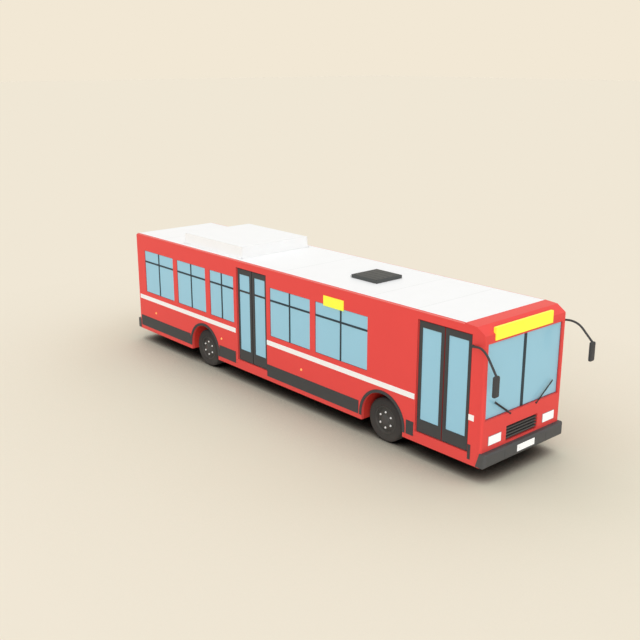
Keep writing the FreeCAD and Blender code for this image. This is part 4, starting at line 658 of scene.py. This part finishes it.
# Doors. Four leaves of dark painted extrusion, each round one tall pane, with rubber
# fingers along the meeting edges, a brush at the foot and a grab rail inside.
TRIM_DARK = (0.058, 0.059, 0.061)
door_dark = finish("door_dark_frame", TRIM_DARK, 0.45, grain=500, bump=0.12, tone=0.07, dust=0.1,
                   dust_reach=1.0, soften=0.003)
dress(door_dark, "mid_door_rear_leaf", "mid_door_front_leaf", "front_door_rear_leaf",
      "front_door_front_leaf")
finger_black = finish(
    "finger_rubber_black", (0.018, 0.018, 0.018), 0.75, grain=400, bump=0.3, tone=0.1)
finger_red = finish("finger_rubber_red", (0.22, 0.014, 0.012), 0.7, grain=400, bump=0.3, tone=0.1)
rail_yellow = finish("handrail_yellow_powder", (0.85, 0.60, 0.05), 0.4, grain=600, bump=0.2,
                     tone=0.05, wear=0.2, wear_color=(0.5, 0.5, 0.5, 1))
DOORS = (("mid_door_rear", -1.071, 1, -1.6205, finger_black),
         ("mid_door_front", -1.047, -1, -0.4975, finger_black),
         ("front_door_rear", 4.9995, 1, 4.3575, finger_red),
         ("front_door_front", 5.0235, -1, 5.6655, finger_red))
for body, meeting, way, outer, finger in DOORS:
    fittings = bmesh.new()
    block(fittings, (meeting - way * 0.003, -1.2225, 0.587),
          (meeting + way * 0.0085, -1.1915, 2.898), 0.004, 3)
    block(fittings, (outer + way * 0.05, -1.213, 0.575), (meeting - way * 0.004, -1.201, 0.590),
          0.002, 1)
    block(fittings, (meeting - way * 0.012, -1.2255, 0.875), (meeting - way * 0.072, -1.2235, 2.75),
          0.001, 1, material=1)
    rail_x = meeting - way * 0.045
    pour(fittings, round_bar((rail_x, -1.155, 1.02), (rail_x, -1.155, 1.92), 0.0125), 2)
    for z in (1.04, 1.90):
        pour(fittings, round_bar((rail_x, -1.188, z), (rail_x, -1.158, z), 0.009), 2)
        pour(fittings, round_bar((rail_x, -1.1905, z), (rail_x, -1.186, z), 0.021), 2)
    settle(fittings, f"fittings_{body}", body, [finger, door_dark, rail_yellow])
# Painted shade: dark rubber strips across each doorway's head and down its jambs stand for the
# shade of the recessed doors.
DOORWAYS = ((-1.6355, -0.4825, finger_black), (4.3425, 5.6805, finger_red))
SILL_Z, HEADER_Z = 0.570, 2.915
for place, (low, high, rubber) in zip(("mid", "front"), DOORWAYS):
    painted_shade_edging = bmesh.new()
    for (x, z), (far_x, far_z) in (
            ((low - 0.010, HEADER_Z), (high + 0.006, HEADER_Z + 0.010)),
            ((low - 0.010, SILL_Z), (low - 0.001, HEADER_Z + 0.001)),
            ((high + 0.001, SILL_Z), (high + 0.006, HEADER_Z + 0.001))):
        block(painted_shade_edging, (x, -1.2520, z), (far_x, -1.2490, far_z), 0.001, 2)
    settle(painted_shade_edging, f"doorway_edging_{place}", "shell", [rubber])

# Side trim. Dark rub bands with screwed ends, white film stripes, rubber arch flares and
# amber marker lenses, all lying on the side panels.
band_plastic = finish(
    "rub_band_plastic", TRIM_DARK, 0.55, grain=350, bump=0.3, tone=0.08, dust=0.06, dust_reach=1.1,
    wear=0.15, wear_color=(0.15, 0.15, 0.15, 1), soften=0.003)
arch_rubber = finish("arch_rubber", TRIM_DARK, 0.65, grain=350, bump=0.35, tone=0.1, dust=0.06,
                     dust_reach=1.3, soften=0.004)
stripe_film = finish("white_film", (0.98, 0.97, 0.96), 0.35, grain=600, bump=0.03, tone=0.02,
                     dust=0.05, dust_reach=1.8, rough_range=0.05)
screw_dark = finish(
    "dark_screw", (0.12, 0.12, 0.12), 0.4, grain=900, bump=0.1, tone=0.15, metallic=0.3)
dress(band_plastic, "skirt_bands")
dress(arch_rubber, "arch_trims")
dress(stripe_film, "side_stripes")
BAND_SPANS = {
    -1: ((-6.2895, -3.7785), (-2.4465, -1.6500), (-0.468, 2.6935), (4.0895, 4.335), (5.70, 5.7605)),
    1: ((-6.2895, -3.7785), (-2.4465, 2.6935), (4.0895, 5.7605))}
BAND_FACE, BAND_END, SCREW_PITCH = 1.2578, 0.03, 0.45
screws = bmesh.new()
for side, spans in BAND_SPANS.items():
    for low, high in spans:
        run = high - low - 2 * BAND_END
        steps = max(1, round(run / SCREW_PITCH))
        for k in range(steps + 1):
            x = low + BAND_END + run * k / steps
            for z in (0.474, 0.725):
                turning(
                    screws, [(0.0022, 0.0), (0.007, 0.0), (0.0066, 0.0012), (0.0045, 0.0022),
                    (0.0022, 0.0024)], 10, place=at(x, side * BAND_FACE, z) @ half_turn(side))
settle(screws, "band_screws", "shell", [screw_dark])


def lens(name, color, glow, ridge=180.0):
    """A moulded lens with fine prisms across it and a little light of its own."""
    made = finish(name, color, 0.22, grain=120, bump=0.05, tone=0.03, coat=0.5, rough_range=0.05)
    tree = made.node_tree
    place = add(tree, "TexCoord").outputs["Object"]
    waves = add(tree, "TexWave", {"Vector": place, "Scale": ridge / 6.28, "Distortion": 0.0},
                bands_direction="Z")
    prisms = add(
        tree, "Bump", {"Strength": 0.25, "Distance": 0.001, "Height": waves.outputs["Fac"]})
    tune(made, {"Emission Color": (*color, 1), "Emission Strength": glow,
                "Normal": prisms.outputs["Normal"]})
    return made


amber_lens = lens("amber_lens", (0.98, 0.46, 0.13), 0.36)
dress(amber_lens, "side_markers")
MARKERS = (-5.4915, -2.3465, 0.7945)
marker_rims = bmesh.new()
for side in (-1, 1):
    for x in MARKERS:
        turning(
            marker_rims, [(0.0235, 0.0), (0.029, 0.0), (0.0285, 0.0045), (0.0260, 0.0060),
            (0.0235, 0.0055)], 32, place=at(x, side * 1.2498, 0.942) @ half_turn(side))
settle(marker_rims, "marker_rims", "shell", [amber_lens])

# Lamps. White head lamps with fine flutes in slim grey bezels, and three stacked red tail
# lamps a side, each in its own dark rim.
head_lens = lens("head_lamp_lens", (0.95, 0.95, 0.95), 0.20, 120.0)
tail_lens = lens("tail_lamp_lens", (0.62, 0.02, 0.02), 0.06)
bezel_grey = finish(
    "bezel_grey", (0.42, 0.42, 0.43), 0.35, grain=500, bump=0.1, tone=0.05, soften=0.002)
dress(head_lens, "head_lamps")
dress(tail_lens, "tail_lamps")
bezels = bmesh.new()
for side in (-1, 1):
    for low, high in border(side * 0.665, side * 1.050, 0.753, 0.941, 0.006):
        block(bezels, (6.0095, *low), (6.0235, *high), 0.002, 2)
settle(bezels, "head_lamp_bezels", "shell", [bezel_grey])
surrounds = bmesh.new()
for side in (-1, 1):
    for foot in (0.756, 0.916, 1.076):
        for low, high in border(side * 1.006, side * 1.174, foot, foot + 0.158, 0.006):
            block(surrounds, (-6.3885, *low), (-6.3735, *high), 0.002, 2)
settle(surrounds, "tail_lamp_rims", "shell", [band_plastic])

# Grille. Dark moulded plastic slats across a sunk opening, clipped in one frame with a row
# of thin uprights close behind them.
grille_plastic = finish("grille_dark_plastic", (0.075, 0.075, 0.076), 0.5, grain=350, bump=0.25,
                        tone=0.08, dust=0.2, dust_reach=1.3, soften=0.004)
dress(grille_plastic, "front_grille")
uprights = bmesh.new()
for k in range(33):
    y = -0.48 + 0.03 * k
    block(uprights, (5.9480, y - 0.002, 0.694), (5.9560, y + 0.002, 1.001), 0.0012, 1)
settle(uprights, "grille_uprights", "shell", [grille_plastic])

# Bumpers and plates. Moulded dark bumpers made in three lengths with butt joints and low bolts,
# each with a blank pressed plate held by two screws; the plates glow faintly as painted light.
bumper_plastic = finish(
    "bumper_dark_plastic", (0.086, 0.087, 0.089), 0.5, grain=260, bump=0.3, tone=0.07, dust=0.06,
    dust_reach=0.9, wear=0.15, wear_color=(0.16, 0.16, 0.16, 1), soften=0.006)
plate_painted_glow = finish("plate_white_enamel", (0.98, 0.98, 0.98), 0.3, grain=500, bump=0.05, tone=0.03)
# Painted light: the plate glows faintly, though it is no lamp, so that it reads whiter.
tune(plate_painted_glow, {"Emission Color": (0.98, 0.98, 0.98, 1), "Emission Strength": 0.15})
dress(bumper_plastic, "front_bumper", "rear_bumper")
dress(plate_painted_glow, "number_plates")
joints = bmesh.new()
for x, way in ((6.1305, 1), (-6.5045, -1)):
    turn = rotated(-90 * way, "Z")
    top = 0.59 if way > 0 else 0.575
    for y in (-0.66, 0.66):
        block(joints, (x - way * 0.001, y - 0.003, 0.43), (x + way * 0.0012, y + 0.003, top),
              0.0005, 1, material=1)
    for y in (-0.95, -0.50, 0.50, 0.95):
        turning(joints, [(0, 0), (0.013, 0), (0.012, 0.0015), (0.008, 0.0022), (0, 0.0024)], 16,
                place=at(x - way * 0.001, y, 0.455) @ turn)
    face = x + way * 0.006
    near, far = face - way * 0.001, face + way * 0.0014
    for low, high in border(-0.275, 0.275, 0.45, 0.585, 0.006):
        block(joints, (near, *low), (far, *high), 0.001, 2, material=2)
    for y in (-0.20, 0.20):
        turning(joints, [(0, 0), (0.008, 0), (0.0075, 0.0015), (0.004, 0.0025), (0, 0.0028)], 14,
                place=at(face, y, 0.5175) @ turn)
settle(joints, "bumper_fittings", "shell", [screw_dark, gasket_rubber, plate_painted_glow])

# Mirrors. Oblong dark housings hung ahead of the screen on bent tube arms. Each arm is bolted
# to the side by a round flange and gripped by a clamp at the housing's top.
mirror_plastic = finish(
    "mirror_dark_plastic", TRIM_DARK, 0.45, grain=350, bump=0.2, tone=0.06, soften=0.003)
mirror_glass = finish("mirror_silver", (0.80, 0.82, 0.83), 0.06, grain=4, bump=0.01, tone=0.01,
                      rough_range=0.02, metallic=1.0)


def rounded_path(points, bend, parts):
    """Points along straight runs joined by arcs of one radius."""
    points = [Vector(p) for p in points]
    path = [points[0]]
    for before, corner, after in zip(points, points[1:], points[2:]):
        back, ahead = (before - corner).normalized(), (after - corner).normalized()
        half = back.angle(ahead) / 2
        reach = bend / math.tan(half)
        centre = corner + (back + ahead).normalized() * (bend / math.sin(half))
        first = (corner + back * reach - centre) / bend
        last = (corner + ahead * reach - centre) / bend
        for k in range(parts + 1):
            path.append(centre + first.slerp(last, k / parts) * bend)
    return path + [points[-1]]


def tube_along(path, radius, steps):
    """A closed round tube swept along a path without twisting."""
    made = bmesh.new()
    aim = (path[1] - path[0]).normalized()
    up = aim.orthogonal().normalized()
    rings = []
    for k, point in enumerate(path):
        ahead = (path[min(k + 1, len(path) - 1)] - path[max(k - 1, 0)]).normalized()
        up = (up - ahead * up.dot(ahead)).normalized()
        side = ahead.cross(up)
        rings.append([made.verts.new(point + (up * math.cos(t) + side * math.sin(t)) * radius)
                      for t in (2 * math.pi * i / steps for i in range(steps))])
    skin(made, rings)
    made.faces.new(rings[0])
    made.faces.new(rings[-1])
    return made


def oblong(half_wide, half_high, corner, steps=7):
    """Outline of an oblong with round corners, as (across, up) pairs."""
    points = []
    for k, (sy, sz) in enumerate(((1, 1), (-1, 1), (-1, -1), (1, -1))):
        for i in range(steps + 1):
            turn = math.pi / 2 * (k + i / steps)
            points.append((sy * (half_wide - corner) + corner * math.cos(turn),
                           sz * (half_high - corner) + corner * math.sin(turn)))
    return points


HEAD_BACK, HEAD_Y, HEAD_Z = 6.4505, 1.520, (1.985, 2.390)
FLANGE_X, FLANGE_Z, BOLT_CIRCLE = 5.7125, 2.705, 0.0288
mirrors = bmesh.new()
for side in (-1, 1):
    arm = rounded_path([(FLANGE_X, side * 1.274, FLANGE_Z), (6.1125, side * 1.438, 2.795),
                        (6.4805, side * HEAD_Y, 2.370)], 0.400, 14)
    pour(mirrors, tube_along(arm, 0.022, 24))
    turn = half_turn(side)
    turning(mirrors, [(0, -0.001), (0.032, -0.001), (0.032, 0.008), (0.030, 0.010), (0.026, 0.010),
                      (0.0255, 0.038), (0.023, 0.041), (0, 0.042)], 36,
            place=at(FLANGE_X, side * 1.25, FLANGE_Z) @ turn)
    for k in range(6):
        angle = math.radians(30 + 60 * k)
        bolt_x = FLANGE_X + BOLT_CIRCLE * math.cos(angle)
        bolt_z = FLANGE_Z + BOLT_CIRCLE * math.sin(angle)
        turning(mirrors, [(0, 0), (0.0026, 0), (0.0026, 0.003), (0.0018, 0.004), (0, 0.004)], 6,
                place=at(bolt_x, side * 1.259, bolt_z) @ turn)
    block(mirrors, (6.453, side * HEAD_Y - 0.030, 2.330), (6.508, side * HEAD_Y + 0.030, 2.3895),
          0.008, 3)
    middle = (HEAD_Z[0] + HEAD_Z[1]) / 2
    half = (HEAD_Z[1] - HEAD_Z[0]) / 2
    rings = []
    for depth, inset in ((0.004, 0.013), (0.0015, 0.012), (0, 0.007), (0.002, 0.002), (0.008, 0.0),
                         (0.036, 0.0), (0.048, 0.004), (0.056, 0.012), (0.060, 0.026)):
        rings.append([mirrors.verts.new((HEAD_BACK + depth, side * HEAD_Y + y, middle + z))
                      for y, z in oblong(0.075 - inset, half - inset, max(0.008, 0.036 - inset))])
    skin(mirrors, rings)
    mirrors.faces.new(rings[0]).material_index = 1
    mirrors.faces.new(rings[-1])
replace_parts(settle(mirrors, "mirrors", "shell", [mirror_plastic, mirror_glass],
                   smooth=38), "door_mirrors")

# Wipers. A sprung steel arm on a capped spindle carries a slim blade with a rubber edge,
# parked slanting up and outwards over the screen.
PIVOT_Y, PIVOT_Z = 0.416, 1.252
wiper_black = finish(
    "wiper_black", (0.035, 0.035, 0.036), 0.45, grain=500, bump=0.15, tone=0.08, soften=0.002)
for hand, side in (("right", -1), ("left", 1)):
    along = Vector((0, side * 0.506, 0.356)).normalized()
    across = Vector((1, 0, 0)).cross(along)
    placing = at(0, side * PIVOT_Y, PIVOT_Z) @ Matrix(
        ((0, 0, 1, 0), (along.y, across.y, 0, 0), (along.z, across.z, 0, 0), (0, 0, 0, 1)))
    wiper = bmesh.new()
    arm = slab((-0.012, -0.015, 6.0240), (0.380, 0.015, 6.0292), 0.002, 2)
    for vert in arm.verts:
        vert.co.y *= 1.0 - 0.45 * max(0.0, vert.co.x) / 0.38
    pour(wiper, arm, 0, placing)
    block(wiper, (0.070, -0.0205, 6.0200), (0.6180, 0.0205, 6.0240), 0.0015, 2, place=placing)
    block(wiper, (0.075, -0.004, 6.0165), (0.6130, 0.004, 6.0205), 0.001, 1, 1, placing)
    for start in (0.17, 0.35, 0.52):
        block(wiper, (start, -0.0208, 6.0195), (start + 0.028, 0.0208, 6.0262), 0.002, 2,
              place=placing)
    spin = rotated(-90, "Z")
    turning(wiper, [(0, 0), (0.0194, 0), (0.0198, 0.002), (0.0198, 0.017), (0.0165, 0.0205),
                    (0, 0.0215)], 32, place=at(6.0117, side * PIVOT_Y, PIVOT_Z) @ spin)
    turning(wiper, [(0, 0), (0.0088, 0), (0.0088, 0.084), (0, 0.084)], 24,
            place=at(5.9315, side * PIVOT_Y, PIVOT_Z) @ spin)
    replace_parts(settle(wiper, f"wiper_{hand}_arm_and_blade", f"wiper_{hand}",
                       [wiper_black, gasket_rubber]), f"wiper_{hand}")

# Route signs. Flat lit panels behind plain yellow covers, one over a side window and one
# standing up before the brow. Both are left blank.
sign_cover = finish("sign_yellow_cover", (0.93, 0.93, 0.070), 0.35, grain=500, bump=0.08, tone=0.02,
                    soften=0.003, rough_range=0.05)
tune(sign_cover, {"Emission Color": (1.0, 1.0, 0.09, 1), "Emission Strength": 0.12})
dress(sign_cover, "route_signs")

# Engine flap. A painted sheet with two banks of pressed louvres, a pull bar and two round
# locks near its foot, hung from its top edge.
FLAP_FACE = -6.4008
louvres = bmesh.new()
for y0, y1 in ((-0.58, -0.10), (0.10, 0.58)):
    for k in range(8):
        z = 0.76 + 0.040 * k
        blade = slab((-0.0075, y0, -0.010), (0.0020, y1, 0.010), 0.003, 2)
        pour(louvres, blade, 0, at(FLAP_FACE, 0, z) @ rotated(-28, "Y"))
block(louvres, (FLAP_FACE - 0.010, -0.055, 0.680), (FLAP_FACE + 0.001, 0.055, 0.700), 0.004, 3,
      material=1)
for y in (-0.62, 0.62):
    turning(louvres, [(0, 0), (0.014, 0), (0.0135, 0.004), (0.010, 0.006), (0, 0.0065)], 20, 1,
            at(FLAP_FACE + 0.001, y, 0.69) @ rotated(90, "Z"))
settle(louvres, "flap_louvres", "engine_flap", [body_paint, band_plastic])

# Seats. Moulded shells in pairs on one pedestal, each with a woven blue cushion and back
# pad. The driver's seat is a single one, on the raised floor of the cab.
shell_plastic = finish("seat_shell_grey", (0.20, 0.205, 0.21), 0.5, grain=350, bump=0.2, tone=0.06)
woven_blue = finish("woven_blue_moquette", (0.035, 0.075, 0.21), 0.9, grain=1400, bump=0.6,
                    depth=0.0008, tone=0.22, patch=420, specular=0.2)
tune(woven_blue, {"Sheen Weight": 0.3})


def cushion(long, wide, thick, across=12):
    """A crowned pad with pulled-in sides, flat underneath, centred over its own middle."""
    made = bmesh.new()
    grid = {}
    for top in (0, 1):
        for i in range(across + 1):
            for j in range(across + 1):
                u, v = 2 * i / across - 1, 2 * j / across - 1
                edge = max(abs(u), abs(v))
                pull_u = 1 - 0.035 * (1 - v * v)
                pull_v = 1 - 0.035 * (1 - u * u)
                crown = (1 - u ** 4) * (1 - v ** 4)
                if top:
                    z, swell = thick * (0.32 + 0.68 * crown ** 0.45), 1.0
                else:
                    z, swell = 0 if edge < 1 else thick * 0.10, 0.965
                grid[top, i, j] = made.verts.new((u * long / 2 * pull_u * swell,
                                                  v * wide / 2 * pull_v * swell, z))
    for top in (0, 1):
        for i in range(across):
            for j in range(across):
                made.faces.new((grid[top, i, j], grid[top, i + 1, j], grid[top, i + 1, j + 1],
                                grid[top, i, j + 1]))
    rim = ([(i, 0) for i in range(across)] + [(across, j) for j in range(across)]
           + [(i, across) for i in range(across, 0, -1)] + [(0, j) for j in range(across, 0, -1)])
    for here, there in zip(rim, rim[1:] + rim[:1]):
        made.faces.new((grid[0, *here], grid[0, *there], grid[1, *there], grid[1, *here]))
    return made


FLOOR_TOP, PITCH, SEAT_WIDTH, SEAT_HEIGHT = 0.565, 0.82, 0.45, 0.43
PAIRS = ([(-2.3125 + PITCH * k, 0.268, FLOOR_TOP) for k in range(6)]
         + [(-0.1825 + PITCH * k, -1.168, FLOOR_TOP) for k in range(3)]
         + [(-6.2345 + PITCH * k, y, PODIUM_TOP) for k in range(2) for y in (0.268, -1.168)])
shells = bmesh.new()
pads = bmesh.new()
CAB_FLOOR_TOP = 0.765
DRIVER = (4.6605, 0.430, 0.522, CAB_FLOOR_TOP, 0.36)
SEATS = [(x, y + SEAT_WIDTH * place, SEAT_WIDTH, floor, SEAT_HEIGHT)
         for x, y, floor in PAIRS for place in range(2)] + [DRIVER]
for x, y, wide, floor, height in SEATS:
    seat_z = floor + height
    middle = y + wide / 2
    block(shells, (x + 0.004, y + 0.006, seat_z - 0.050),
          (x + 0.428, y + wide - 0.006, seat_z - 0.028), 0.010, 3)
    block(shells, (x + 0.001, y + 0.006, seat_z - 0.050),
          (x + 0.022, y + wide - 0.006, seat_z + 0.555), 0.010, 3)
    pour(pads, cushion(0.385, wide - 0.045, 0.046), 0, at(x + 0.228, middle, seat_z - 0.029))
    pour(pads, cushion(0.500, wide - 0.045, 0.042), 0,
         at(x + 0.0215, middle, seat_z + 0.285) @ rotated(90, "Y"))
PEDESTALS = [(x, y, 2 * SEAT_WIDTH, floor, SEAT_HEIGHT) for x, y, floor in PAIRS] + [DRIVER]
for x, y, wide, floor, height in PEDESTALS:
    middle = y + wide / 2
    stem_top = floor + height - 0.045
    block(shells, (x + 0.12, middle - 0.06, floor), (x + 0.24, middle + 0.06, stem_top), 0.012, 3)
    block(shells, (x + 0.075, middle - 0.11, floor), (x + 0.288, middle + 0.11, floor + 0.014),
          0.005, 2)
    if wide > 0.6:
        aisle = y + 0.02 if y > 0 else y + wide - 0.02
        pour(shells, round_bar((x + 0.011, aisle, floor + 0.85),
                               (x + 0.011, aisle, floor + height + 0.585), 0.010), 1)
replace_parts(settle(shells, "seat_shells", "shell", [shell_plastic, rail_yellow]),
            "seats")
settle(pads, "seat_cushions", "shell", [woven_blue], smooth=60)

# Cab. A textured dark dashboard with a hooded cluster of two plain gauges and a row of
# buttons, and a steering wheel with a moulded grip and centre boss.
dash_plastic = finish(
    "dashboard_grain", (0.055, 0.057, 0.060), 0.6, grain=220, bump=0.4, tone=0.08, soften=0.01)
grip_black = finish("steering_grip", (0.025, 0.025, 0.026), 0.5, grain=380, bump=0.4, tone=0.08)
gauge_face = finish("gauge_face", (0.35, 0.36, 0.37), 0.3, grain=200, bump=0.05, tone=0.05)
dress(dash_plastic, "dashboard")
dress(grip_black, "steering_wheel")
cab = bmesh.new()
block(cab, (5.56, 0.45, 1.222), (5.90, 0.93, 1.246), 0.010, 3)
block(cab, (5.70, 0.47, 1.240), (5.80, 0.91, 1.262), 0.009, 3)
for y in (0.60, 0.78):
    tilt = at(5.62, y, 1.247) @ rotated(90, "X")
    turning(cab, [(0.040, -0.002), (0.052, -0.002), (0.052, 0.004), (0.048, 0.007), (0.043, 0.004),
                  (0.040, 0.002)], 32, place=tilt)
    turning(cab, [(0, -0.001), (0.041, -0.001), (0.041, 0.0015), (0, 0.0020)], 32, 1, tilt)
for k in range(7):
    block(cab, (5.540, 0.02 + 0.052 * k, 1.222), (5.576, 0.056 + 0.052 * k, 1.231), 0.003, 2)
turning(cab, [(0, 0), (0.052, 0), (0.056, 0.006), (0.050, 0.016), (0.030, 0.021), (0, 0.022)], 36,
        place=at(5.3105, 0.691, 1.352) @ UPRIGHT)
settle(cab, "cab_controls", "shell", [dash_plastic, gauge_face])

# Poles. Yellow powder-coated tubes from floor to ceiling beside the doors, held by round
# flanges at both ends, each with a collar and a small bracket at hand height.
dress(rail_yellow, "grab_poles")
CEILING, POLE_Y = 3.056, -0.56
flanges = bmesh.new()
for x in (-1.7555, -0.3625, 4.2225):
    for z, turned in ((FLOOR_TOP, UPRIGHT), (CEILING, UPRIGHT @ rotated(180, "X"))):
        turning(flanges, [(0.0165, 0), (0.042, 0), (0.042, 0.005), (0.036, 0.009), (0.024, 0.012),
                          (0.022, 0.03), (0.0165, 0.031)], 32, place=at(x, POLE_Y, z) @ turned)
    turning(flanges, [(0.0165, 0), (0.021, 0.001), (0.021, 0.036), (0.0165, 0.037)], 28,
            place=at(x, POLE_Y, 1.60) @ UPRIGHT)
    block(flanges, (x - 0.022, POLE_Y - 0.025, 1.601), (x + 0.022, POLE_Y - 0.015, 1.636), 0.003, 2)
settle(flanges, "pole_flanges", "shell", [rail_yellow])
